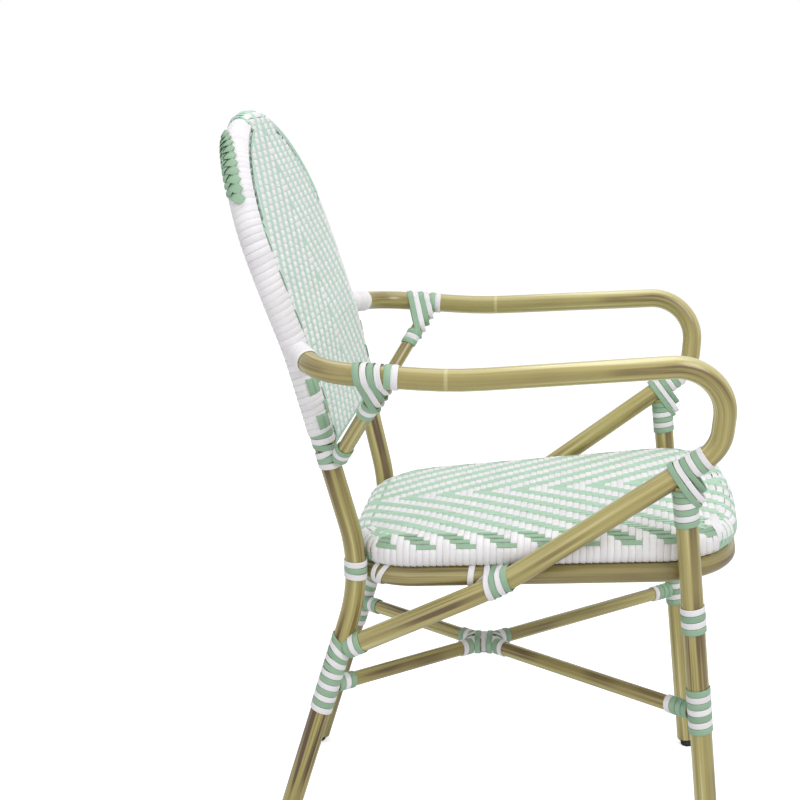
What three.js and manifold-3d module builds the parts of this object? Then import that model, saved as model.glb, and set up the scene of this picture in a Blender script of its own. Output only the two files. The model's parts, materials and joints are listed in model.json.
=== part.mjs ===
// Woven bistro armchair: lacquered tube frame, woven seat and back, strand bindings at the joints.
// Millimetres, +Z up. The chair faces -Y and +X is the sitter's left.
import * as THREE from "three";
import { mergeVertices } from "three/addons/utils/BufferGeometryUtils.js";
import Module from "manifold-3d";

const wasm = await Module();
wasm.setup();

// Stock: the two tube sizes, the flat strand and the clearances
const FRAME_DIAMETER = 25.4;
const BRACE_DIAMETER = 18;
const TUBE_WALL = 1.8;
const STRAND_THICKNESS = 2;
const BAND_PITCH = 8;
const CLEARANCE = 0.35;
const WELD_GAP = 0.4;
const TURN_GAP = 1.2;
const BAND_LIFT = 0.8;
const CUT_OVERRUN = 3;

// Rear frame: one tube from foot to foot over the crown of the back
const REAR_FOOT_SPREAD = 306;
const REAR_FOOT_BACK = 165;
const KNEE_SPREAD = 284;
const KNEE_BACK = 57;
const KNEE_HEIGHT = 373;
const KNEE_BEND = 230;
const BACK_TURN_SPREAD = 355;
const BACK_TURN_BACK = 129.5;
const BACK_TURN_HEIGHT = 653;
const SHOULDER_SPREAD = 374;
const SHOULDER_BACK = 157;
const SHOULDER_HEIGHT = 730;
const BACK_BEND = 380;
const CROWN_SPRING_HEIGHT = 758;
const CROWN_HEIGHT = 904;
const CROWN_STEPS = 14;

// Woven back: the wrapped rim, the lower rail and the panel drawn over the front of both
const RAIL_HEIGHT = 538;
const PANEL_THICKNESS = 4.5;
const PANEL_DISH = 2;
const PANEL_EDGE_TURN = THREE.MathUtils.degToRad(60);
const PANEL_COLUMNS = 10;
const PANEL_ROWS = 10;
const PANEL_SIDE_SHARE = 0.62;

// Front legs
const FRONT_FOOT_SPREAD = 402;
const FRONT_FOOT_FRONT = 372.5;
const FRONT_TOP_SPREAD = 434;
const FRONT_TOP_FRONT = 316;
const FRONT_TOP_HEIGHT = 518;

// Arms: from the rim out, forward, round the hand rest and back down to the rear leg
const ARM_ROOT_HEIGHT = 652;
const ARM_ELBOW_SPREAD = 517;
const ARM_ELBOW_BACK = 86;
const ARM_ELBOW_HEIGHT = 645;
const ARM_ELBOW_BEND = 62;
const ARM_REST_SPREAD = 515;
const ARM_REST_FRONT = 58;
const ARM_REST_HEIGHT = 638.5;
const ARM_REST_BEND = 520;
const ARM_TIP_SPREAD = 471;
const ARM_TIP_FRONT = 359;
const ARM_TIP_HEIGHT = 661;
const ARM_TIP_BEND = 56;
const ARM_RETURN_FRONT = 353;
const ARM_RETURN_HEIGHT = 562;
const ARM_RETURN_BEND = 46;
const BRACE_TURN_FRONT = 110;
const BRACE_TURN_HEIGHT = 382;
const BRACE_TURN_BEND = 450;
const BRACE_FOOT_HEIGHT = 270;

// Struts from under the arms in to the foot of the back
const STRUT_TOP_FRONT = -12;
const STRUT_FOOT_DROP = 25;
const STRUT_FOOT_FORWARD = 6;

// Seat: a bent ring that rises to the front, two cross bars and the woven seat on top
const SEAT_HEIGHT = 376;
const SEAT_RISE_SHARE = 0.096;
const RING_FRONT = 383;
const RING_BOW = 13;
const RING_BOW_BEND = 700;
const RING_CORNER_BEND = 75;
const RING_FLARE_SHARE = 0.093;
const BAR_FRONT = 262;
const BAR_REAR = 62;
const SEAT_STOPS = 44;
const SEAT_THICKNESS = 35;
const SEAT_CROWN = 5;
const SEAT_EDGE_SHARES = [
  [0.26, 0],
  [0.06, 0.2],
  [0, 0.45],
  [0.08, 0.74],
  [0.3, 0.93],
  [0.62, 1],
];
const SEAT_CROWN_SHARES = [0.72, 0.42];
const SCREW_SPREAD = 190;
const SCREW_SHANK = 5;
const SCREW_HEAD = 10;
const SCREW_HEAD_HEIGHT = 3.2;
const SCREW_BITE = 14;

// Stretchers: a cross between the legs, one tube whole and the other in two halves
const STRETCHER_FRONT_HEIGHT = 240;
const STRETCHER_REAR_HEIGHT = 223;

// Glides under the legs
const GLIDE_DIAMETER = 17;
const GLIDE_SHOW = 11;
const GLIDE_STEM = 22;

// Bindings: where they sit and how many bands each has
const KNEE_BINDING_HEIGHT = 379;
const KNEE_BINDING_BANDS = 4;
const KNEE_STRAP_BANDS = 2;
const REAR_BINDING_HEIGHT = 238;
const REAR_BINDING_BANDS = 12;
const BACK_FOOT_BINDING_BANDS = 5;
const LEG_BAND_HEIGHT = 358;
const LEG_BAND_BANDS = 4;
const STRETCHER_BINDING_HEIGHT = 246;
const STRETCHER_BINDING_BANDS = 7;
const LEG_TOP_BINDING_DROP = 39.5;
const LEG_TOP_BINDING_BANDS = 7;
const HAND_BINDING_FRONT = 320;
const HAND_BINDING_BANDS = 5;
const COLLAR_BANDS = 3;
const ARM_ROOT_BANDS = 2;
const LASHING_BANDS = 8;
const ARM_BINDING_FROM = 6;
const ARM_BINDING_TO = 38;
const ARM_BINDING_SLANT_SHARE = 1.5;
const ARM_BINDING_TURNS = 4;
const RING_BINDING_LENGTH = 33;
const RING_BINDING_TURNS = 4;
const RING_GRIP_SHARE = 0.15;

// Facets
const TUBE_SIDES = 10;
const SLEEVE_SIDES = 8;
const BEND_STEP = THREE.MathUtils.degToRad(15);
const LOOP_STEPS = 24;
const RING_SEARCH_STEPS = 400;

// Materials
const LACQUER = { color: 0xa9a064, roughness: 0.36, metalness: 0.45 };
const STRAND_WHITE = { color: 0xece9ec, roughness: 0.52, metalness: 0 };
const STRAND_GREEN = { color: 0x8cb996, roughness: 0.52, metalness: 0 };
const BLACK_PLASTIC = { color: 0x1c1c1c, roughness: 0.6, metalness: 0 };
const ZINC_STEEL = { color: 0x8f9194, roughness: 0.35, metalness: 0.9 };

const frameRadius = FRAME_DIAMETER / 2;
const braceRadius = BRACE_DIAMETER / 2;
const LATERAL = new THREE.Vector3(1, 0, 0);
const DEPTH = new THREE.Vector3(0, 1, 0);
const UP = new THREE.Vector3(0, 0, 1);
const SIDES = [
  { side: -1, word: "right" },
  { side: 1, word: "left" },
];

// A path of stations. A station is a point with the tangent there, so bends get more steps than straights.
class StationPath extends THREE.Curve {
  constructor(points) {
    super();
    this.points = points;
    this.tangents = points.map((point, i) => {
      const before = points[Math.max(i - 1, 0)];
      const after = points[Math.min(i + 1, points.length - 1)];
      const into = point.clone().sub(before).normalize();
      const out = after.clone().sub(point).normalize();
      return into.add(out).normalize();
    });
    const lean = (axis) => Math.max(...this.tangents.map((tangent) => Math.abs(tangent.dot(axis))));
    this.reference = [LATERAL, DEPTH, UP].sort((a, b) => lean(a) - lean(b))[0];
    this.reach = [0];
    for (let i = 1; i < points.length; i += 1) {
      this.reach.push(this.reach[i - 1] + points[i].distanceTo(points[i - 1]));
    }
  }

  get steps() {
    return this.points.length - 1;
  }

  get total() {
    return this.reach[this.steps];
  }

  getPointAt(share) {
    return this.points[Math.round(share * this.steps)].clone();
  }

  getTangentAt(share) {
    return this.tangents[Math.round(share * this.steps)].clone();
  }

  // Point and direction at a distance along the path
  along(distance) {
    const reached = THREE.MathUtils.clamp(distance, 0, this.total);
    let i = 1;
    while (i < this.steps && this.reach[i] < reached) {
      i += 1;
    }
    const share = (reached - this.reach[i - 1]) / (this.reach[i] - this.reach[i - 1]);
    const point = this.points[i - 1].clone().lerp(this.points[i], share);
    const tangent = this.tangents[i - 1].clone().lerp(this.tangents[i], share).normalize();
    const run = this.points[i].clone().sub(this.points[i - 1]).normalize();
    return { point, tangent, run };
  }

  // Distance along the path at which a measure of the points first passes a value
  distanceWhere(measure, value) {
    for (let i = 1; i <= this.steps; i += 1) {
      const from = measure(this.points[i - 1]);
      const to = measure(this.points[i]);
      if ((from - value) * (to - value) <= 0 && from !== to) {
        const share = (value - from) / (to - from);
        return this.reach[i - 1] + share * (this.reach[i] - this.reach[i - 1]);
      }
    }
    return this.total;
  }

  // Distances of a stretch with the stations inside it
  stretch(from, to) {
    const inside = this.reach.filter((distance) => distance > from && distance < to);
    return [from, ...inside, to];
  }
}

// Straights joined by round bends, as a tube bender makes them. A corner is { at, bend }.
function bentPoints(corners) {
  const points = [corners[0].at.clone()];
  for (let i = 1; i < corners.length - 1; i += 1) {
    points.push(...bendPoints(corners[i - 1].at, corners[i], corners[i + 1].at));
  }
  points.push(corners[corners.length - 1].at.clone());
  return points;
}

function bendPoints(before, corner, after) {
  const into = corner.at.clone().sub(before).normalize();
  const out = after.clone().sub(corner.at).normalize();
  const turn = into.angleTo(out);
  const setback = corner.bend * Math.tan(turn / 2);
  const start = corner.at.clone().addScaledVector(into, -setback);
  const axis = into.clone().cross(out).normalize();
  const centre = start.clone().addScaledVector(axis.clone().cross(into), corner.bend);
  const steps = Math.max(2, Math.ceil(turn / BEND_STEP));
  const spoke = start.clone().sub(centre);
  const points = [];
  for (let i = 0; i <= steps; i += 1) {
    const swung = spoke.clone().applyAxisAngle(axis, (turn * i) / steps);
    points.push(swung.add(centre));
  }
  return points;
}

function bySide(make) {
  return { "-1": make(-1), 1: make(1) };
}

function mirrored(point) {
  return new THREE.Vector3(-point.x, point.y, point.z);
}

function roundShape(radius, sides) {
  const points = [];
  for (let i = 0; i < sides; i += 1) {
    const angle = (2 * Math.PI * i) / sides;
    points.push(new THREE.Vector2(radius * Math.cos(angle), radius * Math.sin(angle)));
  }
  return new THREE.Shape(points);
}

function tubeGeometry(path, radius, sides = TUBE_SIDES) {
  return new THREE.ExtrudeGeometry(roundShape(radius, sides), {
    steps: path.steps,
    extrudePath: path,
    bevelEnabled: false,
  });
}

// A tube's own polygon moved out by the clearance
function grown(radius) {
  return radius + CLEARANCE / Math.cos(Math.PI / TUBE_SIDES);
}

// A polygon drawn round a circle, so that its flats clear the circle
function clearRadius(radius, sides = TUBE_SIDES) {
  return (radius + CLEARANCE) / Math.cos(Math.PI / sides);
}

// Booleans
function toSolid(geometry) {
  const bare = geometry.clone();
  bare.deleteAttribute("normal");
  bare.deleteAttribute("uv");
  const merged = mergeVertices(bare);
  const corners = merged.attributes.position;
  const cornerAt = (_, i) => new THREE.Vector3().fromBufferAttribute(corners, i);
  const points = Array.from({ length: corners.count }, cornerAt);
  const faces = outward(points, wholeFaces(Array.from(merged.index.array)));
  const vertProperties = new Float32Array(corners.array);
  return new wasm.Manifold(new wasm.Mesh({ numProp: 3, vertProperties, triVerts: new Uint32Array(faces) }));
}

function toGeometry(solid) {
  const mesh = solid.getMesh();
  const geometry = new THREE.BufferGeometry();
  geometry.setAttribute("position", new THREE.BufferAttribute(new Float32Array(mesh.vertProperties), 3));
  geometry.setIndex(new THREE.BufferAttribute(new Uint32Array(mesh.triVerts), 1));
  geometry.computeVertexNormals();
  return geometry;
}

function cutBy(geometry, cutters) {
  return toGeometry(cutSolid(toSolid(geometry), cutters));
}

function cutSolid(solid, cutters) {
  return cutters.reduce((rest, cutter) => rest.subtract(toSolid(cutter)), solid);
}

// A cut that drops the offcuts past a neighbour
function fitted(geometry, cutters) {
  return toGeometry(largestPiece(cutSolid(toSolid(geometry), cutters)));
}

// The piece with the most material
function largestPiece(solid) {
  const pieces = solid.decompose();
  pieces.sort((a, b) => b.volume() - a.volume());
  return pieces[0];
}

// Rings of points skinned into one closed body: with caps, or looped back on itself
function skinned(rings, looped = false) {
  const sides = rings[0].length;
  const points = rings.flat();
  const index = [];
  const last = looped ? rings.length : rings.length - 1;
  for (let r = 0; r < last; r += 1) {
    const next = (r + 1) % rings.length;
    for (let s = 0; s < sides; s += 1) {
      const t = (s + 1) % sides;
      index.push(r * sides + s, r * sides + t, next * sides + t);
      index.push(r * sides + s, next * sides + t, next * sides + s);
    }
  }
  if (!looped) {
    const end = (rings.length - 1) * sides;
    for (let s = 1; s < sides - 1; s += 1) {
      index.push(0, s + 1, s);
      index.push(end, end + s, end + s + 1);
    }
  }
  return closedGeometry(points, index);
}

// Faces that have three different corners
function wholeFaces(index) {
  const faces = [];
  for (let i = 0; i < index.length; i += 3) {
    const [a, b, c] = index.slice(i, i + 3);
    if (a !== b && b !== c && c !== a) {
      faces.push(a, b, c);
    }
  }
  return faces;
}

// The same faces, turned so that they point out of the body
function outward(points, index) {
  let volume = 0;
  for (let i = 0; i < index.length; i += 3) {
    const [a, b, c] = [points[index[i]], points[index[i + 1]], points[index[i + 2]]];
    volume += a.dot(b.clone().cross(c));
  }
  return volume < 0 ? index.slice().reverse() : index;
}

// Points and faces made into a smooth body with its faces turned out
function closedGeometry(points, index) {
  const geometry = new THREE.BufferGeometry();
  geometry.setFromPoints(points);
  geometry.setIndex(outward(points, index));
  geometry.computeVertexNormals();
  return geometry;
}

// A ring of points square to a path
function ringAt(path, distance, radius, sides) {
  const { point, tangent } = path.along(distance);
  const side = tangent.clone().cross(path.reference).normalize();
  const rise = side.clone().cross(tangent).normalize();
  const ring = [];
  for (let i = 0; i < sides; i += 1) {
    const angle = (2 * Math.PI * i) / sides;
    const spoke = side.clone().multiplyScalar(Math.cos(angle)).addScaledVector(rise, Math.sin(angle));
    ring.push(point.clone().addScaledVector(spoke, radius));
  }
  return ring;
}

// Strand wound on one tube: an open sleeve with a rib for each band
function bandSleeve(path, middle, bands, radius) {
  const length = bands * BAND_PITCH;
  const start = middle - length / 2;
  const inner = clearRadius(radius, SLEEVE_SIDES);
  const valley = inner + STRAND_THICKNESS / 2;
  const crest = inner + STRAND_THICKNESS;
  const rings = [ringAt(path, start, inner, SLEEVE_SIDES)];
  for (let band = 0; band < bands; band += 1) {
    const from = start + band * BAND_PITCH;
    rings.push(ringAt(path, from, valley, SLEEVE_SIDES));
    rings.push(ringAt(path, from + BAND_PITCH / 2, crest, SLEEVE_SIDES));
  }
  rings.push(ringAt(path, start + length, valley, SLEEVE_SIDES));
  const back = path.stretch(start, start + length).reverse();
  rings.push(...back.slice(0, -1).map((distance) => ringAt(path, distance, inner, SLEEVE_SIDES)));
  return skinned(rings, true);
}

// Strand bound over a joint: an open sleeve with sloped ends, as many bands long as asked
function wrapSleeve(path, middle, bands, radius) {
  const start = middle - (bands * BAND_PITCH) / 2;
  const end = middle + (bands * BAND_PITCH) / 2;
  const inner = clearRadius(radius, SLEEVE_SIDES);
  const crest = path.stretch(start + BAND_PITCH / 2, end - BAND_PITCH / 2);
  const outside = [
    ringAt(path, start, inner + STRAND_THICKNESS / 2, SLEEVE_SIDES),
    ...crest.map((distance) => ringAt(path, distance, inner + STRAND_THICKNESS, SLEEVE_SIDES)),
    ringAt(path, end, inner + STRAND_THICKNESS / 2, SLEEVE_SIDES),
  ];
  const stops = path.stretch(start, end).reverse();
  const inside = stops.map((distance) => ringAt(path, distance, inner, SLEEVE_SIDES));
  return skinned([...outside, ...inside], true);
}

// A plain open sleeve along a stretch of a path
function plainSleeve(path, from, to, inner, outer) {
  const stops = path.stretch(from, to);
  const outside = stops.map((distance) => ringAt(path, distance, outer, SLEEVE_SIDES));
  const inside = stops.slice().reverse().map((distance) => ringAt(path, distance, inner, SLEEVE_SIDES));
  return skinned([...outside, ...inside], true);
}

// The oval in which a plane cuts a straight tube
function ovalInPlane(axisPoint, direction, radius, origin, normal) {
  const toPlane = origin.clone().sub(axisPoint).dot(normal) / direction.dot(normal);
  const centre = axisPoint.clone().addScaledVector(direction, toPlane);
  const flat = direction.clone().addScaledVector(normal, -direction.dot(normal));
  const across = flat.lengthSq() > 0 ? flat.normalize().cross(normal).normalize() : LATERAL.clone();
  const longways = across.clone().cross(normal).normalize();
  const stretched = radius / Math.abs(direction.dot(normal));
  const points = [];
  for (let i = 0; i < 2 * LOOP_STEPS; i += 1) {
    const angle = (Math.PI * i) / LOOP_STEPS;
    const spoke = across.clone().multiplyScalar(radius * Math.cos(angle));
    points.push(centre.clone().add(spoke).addScaledVector(longways, stretched * Math.sin(angle)));
  }
  return points;
}

// The outline of a strap pulled tight round sections in one plane, by wrapping their points
function tightLoop(points, origin, across, along) {
  const flat = points.map((point) => {
    const from = point.clone().sub(origin);
    return new THREE.Vector2(from.dot(across), from.dot(along));
  });
  flat.sort((a, b) => a.x - b.x || a.y - b.y);
  const half = (list) => {
    const hull = [];
    for (const point of list) {
      while (hull.length > 1) {
        const [a, b] = hull.slice(-2);
        if ((b.x - a.x) * (point.y - a.y) - (b.y - a.y) * (point.x - a.x) > 0) {
          break;
        }
        hull.pop();
      }
      hull.push(point);
    }
    return hull.slice(0, -1);
  };
  const hull = [...half(flat), ...half(flat.slice().reverse())];
  return hull.map((point) => origin.clone().addScaledVector(across, point.x).addScaledVector(along, point.y));
}

// One flat strand wound tight round two tubes. frameAt(share) gives the plane of the strand there.
function tieWinding(turns, frameAt) {
  const count = turns * LOOP_STEPS;
  const spine = [];
  for (let i = 0; i <= count; i += 1) {
    const { sections, origin, normal, along } = frameAt(i / count);
    const across = along.clone().cross(normal).normalize();
    const reach = BAND_LIFT + STRAND_THICKNESS / 2;
    const outlines = sections.flatMap(({ point, direction, radius }) =>
      ovalInPlane(point, direction, radius + reach, origin, normal)
    );
    const loop = tightLoop(outlines, origin, across, along);
    spine.push(pointRound(loop, origin, along, (i % LOOP_STEPS) / LOOP_STEPS));
  }
  return bandAlong(spine);
}

// The point at a share of the way round a loop from its top. Bends count for more, so they get more steps.
function pointRound(loop, origin, along, share) {
  const heights = loop.map((point) => point.clone().sub(origin).dot(along));
  const top = heights.indexOf(Math.max(...heights));
  const path = new StationPath([...loop.slice(top), ...loop.slice(0, top), loop[top]]);
  const perRadian = path.total / Math.PI;
  const measure = [0];
  for (let i = 1; i <= path.steps; i += 1) {
    const turn = path.tangents[i].angleTo(path.tangents[i - 1]);
    measure.push(measure[i - 1] + path.reach[i] - path.reach[i - 1] + turn * perRadian);
  }
  const wanted = share * measure[path.steps];
  const after = Math.max(1, measure.findIndex((value) => value >= wanted));
  const step = (wanted - measure[after - 1]) / (measure[after] - measure[after - 1]);
  return path.points[after - 1].clone().lerp(path.points[after], step);
}

// A flat six-sided band along a wound spine. Its width follows the local pitch, so turns never touch.
function bandAlong(spine) {
  const last = spine.length - 1;
  const middle = spine.reduce((sum, point) => sum.add(point), new THREE.Vector3()).divideScalar(spine.length);
  const rings = spine.map((point, i) => {
    const tangent = spine[Math.min(i + 1, last)].clone().sub(spine[Math.max(i - 1, 0)]).normalize();
    const nextTurn = i + LOOP_STEPS <= last ? spine[i + LOOP_STEPS] : spine[i - LOOP_STEPS];
    const aside = nextTurn.clone().sub(point);
    aside.addScaledVector(tangent, -aside.dot(tangent));
    const width = Math.min(aside.length() - TURN_GAP, BAND_PITCH);
    const sideways = aside.normalize();
    const out = sideways.clone().cross(tangent).normalize();
    if (out.dot(point.clone().sub(middle)) < 0) {
      out.negate();
    }
    return bandSection(point, sideways, out, width);
  });
  return { geometry: skinned(alignedRings(rings)), gap: turnGap(rings) };
}

function bandSection(point, sideways, out, width) {
  const half = STRAND_THICKNESS / 2;
  const corners = [
    [width / 2, 0],
    [width / 4, half],
    [-width / 4, half],
    [-width / 2, 0],
    [-width / 4, -half],
    [width / 4, -half],
  ];
  return corners.map(([x, y]) => point.clone().addScaledVector(sideways, x).addScaledVector(out, y));
}

// Each ring started and turned like the one before it
function alignedRings(rings) {
  const aligned = [rings[0]];
  for (const ring of rings.slice(1)) {
    const before = aligned[aligned.length - 1];
    const choices = [];
    for (const order of [ring, ring.slice().reverse()]) {
      for (let s = 0; s < ring.length; s += 1) {
        choices.push([...order.slice(s), ...order.slice(0, s)]);
      }
    }
    const spread = (choice) => choice.reduce((sum, point, k) => sum + point.distanceToSquared(before[k]), 0);
    choices.sort((a, b) => spread(a) - spread(b));
    aligned.push(choices[0]);
  }
  return aligned;
}

// Least distance between points of different turns
function turnGap(rings) {
  let least = Infinity;
  for (let i = 0; i < rings.length; i += 1) {
    for (let j = i + LOOP_STEPS / 2; j < rings.length; j += 1) {
      for (const a of rings[i]) {
        for (const b of rings[j]) {
          least = Math.min(least, a.distanceTo(b));
        }
      }
    }
  }
  return least;
}

// Paths of the frame. Side is -1 for the sitter's right and 1 for the left.
function rearFramePath() {
  const slope = (SHOULDER_BACK - BACK_TURN_BACK) / (SHOULDER_HEIGHT - BACK_TURN_HEIGHT);
  const backAt = (height) => SHOULDER_BACK + slope * (height - SHOULDER_HEIGHT);
  const rightSide = bentPoints([
    { at: new THREE.Vector3(REAR_FOOT_SPREAD / 2, REAR_FOOT_BACK, GLIDE_SHOW) },
    { at: new THREE.Vector3(KNEE_SPREAD / 2, KNEE_BACK, KNEE_HEIGHT), bend: KNEE_BEND },
    { at: new THREE.Vector3(BACK_TURN_SPREAD / 2, BACK_TURN_BACK, BACK_TURN_HEIGHT), bend: BACK_BEND },
    { at: new THREE.Vector3(SHOULDER_SPREAD / 2, SHOULDER_BACK, SHOULDER_HEIGHT), bend: BACK_BEND },
    { at: new THREE.Vector3(SHOULDER_SPREAD / 2, backAt(CROWN_SPRING_HEIGHT), CROWN_SPRING_HEIGHT) },
  ]);
  const crown = [];
  const rise = CROWN_HEIGHT - CROWN_SPRING_HEIGHT;
  for (let i = 1; i < CROWN_STEPS; i += 1) {
    const angle = (Math.PI * i) / CROWN_STEPS;
    const height = CROWN_SPRING_HEIGHT + rise * Math.sin(angle);
    crown.push(new THREE.Vector3((SHOULDER_SPREAD / 2) * Math.cos(angle), backAt(height), height));
  }
  const leftSide = rightSide.map(mirrored).reverse();
  return new StationPath([...rightSide, ...crown, ...leftSide]);
}

const rearFrame = rearFramePath();

// Point on the rear frame tube at a height below the crown
function rearAt(height, side) {
  const station = rearFrame.along(rearFrame.distanceWhere((point) => point.z, height));
  return side > 0 ? station.point : mirrored(station.point);
}

function rearDistance(height, side) {
  const distance = rearFrame.distanceWhere((point) => point.z, height);
  return side > 0 ? distance : rearFrame.total - distance;
}

function frontAt(height, side) {
  const share = height / FRONT_TOP_HEIGHT;
  const spread = THREE.MathUtils.lerp(FRONT_FOOT_SPREAD, FRONT_TOP_SPREAD, share);
  const front = THREE.MathUtils.lerp(FRONT_FOOT_FRONT, FRONT_TOP_FRONT, share);
  return new THREE.Vector3((side * spread) / 2, -front, height);
}

function seatPlane(y) {
  return SEAT_HEIGHT - SEAT_RISE_SHARE * y;
}

// Height at which a front leg passes the seat ring
function frontRingHeight() {
  const rate = (FRONT_TOP_FRONT - FRONT_FOOT_FRONT) / FRONT_TOP_HEIGHT;
  return (SEAT_HEIGHT + SEAT_RISE_SHARE * FRONT_FOOT_FRONT) / (1 - SEAT_RISE_SHARE * rate);
}

// The ring's sides are straight lines that just clear the front legs
function ringSide(y) {
  const leg = frontAt(frontRingHeight(), 1);
  const atLeg = leg.x - FRAME_DIAMETER - WELD_GAP;
  return atLeg - RING_FLARE_SHARE * (y - leg.y);
}

// The ring's back reaches the rear legs' line, and its rear bends are as wide as just clears them
function ringRear() {
  const leg = rearAt(seatPlane(KNEE_BACK), 1);
  const back = leg.y;
  const apart = FRAME_DIAMETER + WELD_GAP;
  const offset = leg.x - ringSide(back);
  const slant = Math.hypot(1, RING_FLARE_SHARE) - RING_FLARE_SHARE;
  const a = slant * slant;
  const b = 2 * (offset * slant - apart);
  const c = offset * offset - apart * apart;
  const bend = (-b + Math.sqrt(b * b - 4 * a * c)) / (2 * a);
  return { back, bend };
}

function ringPath() {
  const { back, bend } = ringRear();
  const corner = (x, y, radius) => ({ at: new THREE.Vector3(x, y, seatPlane(y)), bend: radius });
  const frontCorner = -RING_FRONT + RING_BOW;
  return new StationPath(
    bentPoints([
      corner(WELD_GAP / 2, back),
      corner(ringSide(back), back, bend),
      corner(ringSide(frontCorner), frontCorner, RING_CORNER_BEND),
      corner(0, -RING_FRONT, RING_BOW_BEND),
      corner(-ringSide(frontCorner), frontCorner, RING_CORNER_BEND),
      corner(-ringSide(back), back, bend),
      corner(-WELD_GAP / 2, back),
    ])
  );
}

const seatRing = ringPath();

// How far forward the brace passes the seat ring's height
function bracePassFront() {
  const rise = (ARM_RETURN_HEIGHT - BRACE_TURN_HEIGHT) / (ARM_RETURN_FRONT - BRACE_TURN_FRONT);
  return BRACE_TURN_FRONT + (seatPlane(-BRACE_TURN_FRONT) - BRACE_TURN_HEIGHT) / rise;
}

// The brace starts over the top of the front leg and just clears the seat ring where the two pass
function bracePlace(front, height, side) {
  const passFront = bracePassFront();
  const pass = ringSide(-passFront) + FRAME_DIAMETER + 3 * WELD_GAP;
  const share = (front - passFront) / (FRONT_TOP_FRONT - passFront);
  return new THREE.Vector3(side * THREE.MathUtils.lerp(pass, FRONT_TOP_SPREAD / 2, share), -front, height);
}

function armPath(side) {
  const place = (spread, front, height) => new THREE.Vector3((side * spread) / 2, -front, height);
  return new StationPath(
    bentPoints([
      { at: rearAt(ARM_ROOT_HEIGHT, side) },
      { at: place(ARM_ELBOW_SPREAD, -ARM_ELBOW_BACK, ARM_ELBOW_HEIGHT), bend: ARM_ELBOW_BEND },
      { at: place(ARM_REST_SPREAD, ARM_REST_FRONT, ARM_REST_HEIGHT), bend: ARM_REST_BEND },
      { at: place(ARM_TIP_SPREAD, ARM_TIP_FRONT, ARM_TIP_HEIGHT), bend: ARM_TIP_BEND },
      { at: bracePlace(ARM_RETURN_FRONT, ARM_RETURN_HEIGHT, side), bend: ARM_RETURN_BEND },
      { at: bracePlace(BRACE_TURN_FRONT, BRACE_TURN_HEIGHT, side), bend: BRACE_TURN_BEND },
      { at: rearAt(BRACE_FOOT_HEIGHT, side) },
    ])
  );
}

const armPaths = bySide(armPath);

// Distance along an arm, on its way forward, at which it passes a line across the chair
function armDistance(side, y) {
  return armPaths[side].distanceWhere((point) => point.y, y);
}

// Distance along an arm, on its way back down, at which it passes a line across the chair
function braceDistance(side, y) {
  const path = armPaths[side];
  const front = path.points.reduce((best, point, i) => (point.y < path.points[best].y ? i : best), 0);
  const rest = new StationPath(path.points.slice(front));
  return path.reach[front] + rest.distanceWhere((point) => point.y, y);
}

function strutPath(side) {
  const { point: top } = armPaths[side].along(armDistance(side, -STRUT_TOP_FRONT));
  const foot = rearAt(RAIL_HEIGHT - STRUT_FOOT_DROP, side);
  foot.y -= STRUT_FOOT_FORWARD;
  return new StationPath([top, foot]);
}

const strutPaths = bySide(strutPath);

// Height at which the brace's middle line passes over a front leg
function legMeetHeight(side) {
  return armPaths[side].along(braceDistance(side, -FRONT_TOP_FRONT)).point.z;
}

// A front leg runs up to the underside of the brace above it
function frontLegPath(side) {
  return new StationPath([frontAt(GLIDE_SHOW, side), frontAt(legMeetHeight(side), side)]);
}

const frontLegPaths = bySide(frontLegPath);

function stretcherEnd(side, front) {
  return front ? frontAt(STRETCHER_FRONT_HEIGHT, side) : rearAt(STRETCHER_REAR_HEIGHT, side);
}

const wholeStretcher = new StationPath([stretcherEnd(-1, false), stretcherEnd(1, true)]);
const stretcherMeet = stretcherCrossing();
const halvedStretcher = new StationPath([stretcherEnd(-1, true), stretcherEnd(1, false)]);
const frontHalf = new StationPath([stretcherMeet, stretcherEnd(-1, true)]);
const rearHalf = new StationPath([stretcherMeet, stretcherEnd(1, false)]);

function stretcherCrossing() {
  const rear = stretcherEnd(-1, false);
  const front = stretcherEnd(1, true);
  return rear.clone().lerp(front, rear.x / (rear.x - front.x));
}

const rail = new StationPath([rearAt(RAIL_HEIGHT, -1), rearAt(RAIL_HEIGHT, 1)]);
const rimInner = clearRadius(frameRadius, SLEEVE_SIDES);
const rimOuter = rimInner + STRAND_THICKNESS;
const railInner = clearRadius(braceRadius, SLEEVE_SIDES);
const railOuter = railInner + STRAND_THICKNESS;
const rim = rimPath();

// The stretch of the rear frame that the back is woven on
function rimPath() {
  const start = rearDistance(RAIL_HEIGHT - railOuter, 1);
  const stops = rearFrame.stretch(start, rearFrame.total - start);
  return new StationPath(stops.map((distance) => rearFrame.along(distance).point));
}

// Oversize copies of the tubes, which cut their neighbours to fit them
const aroundRearFrame = tubeGeometry(rearFrame, grown(frameRadius));
const aroundRim = tubeGeometry(rim, clearRadius(rimOuter));
const aroundRailWeave = tubeGeometry(rail, clearRadius(railOuter));
const aroundRail = tubeGeometry(rail, grown(braceRadius));
const aroundRing = tubeGeometry(seatRing, grown(frameRadius));
const aroundArm = bySide((side) => tubeGeometry(armPaths[side], grown(frameRadius)));
const aroundStrut = bySide((side) => tubeGeometry(strutPaths[side], grown(braceRadius)));
const aroundFrontLeg = bySide((side) => tubeGeometry(frontLegPaths[side], grown(frameRadius)));
const aroundWhole = tubeGeometry(wholeStretcher, grown(braceRadius));
const aroundHalved = tubeGeometry(halvedStretcher, grown(braceRadius));

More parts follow.
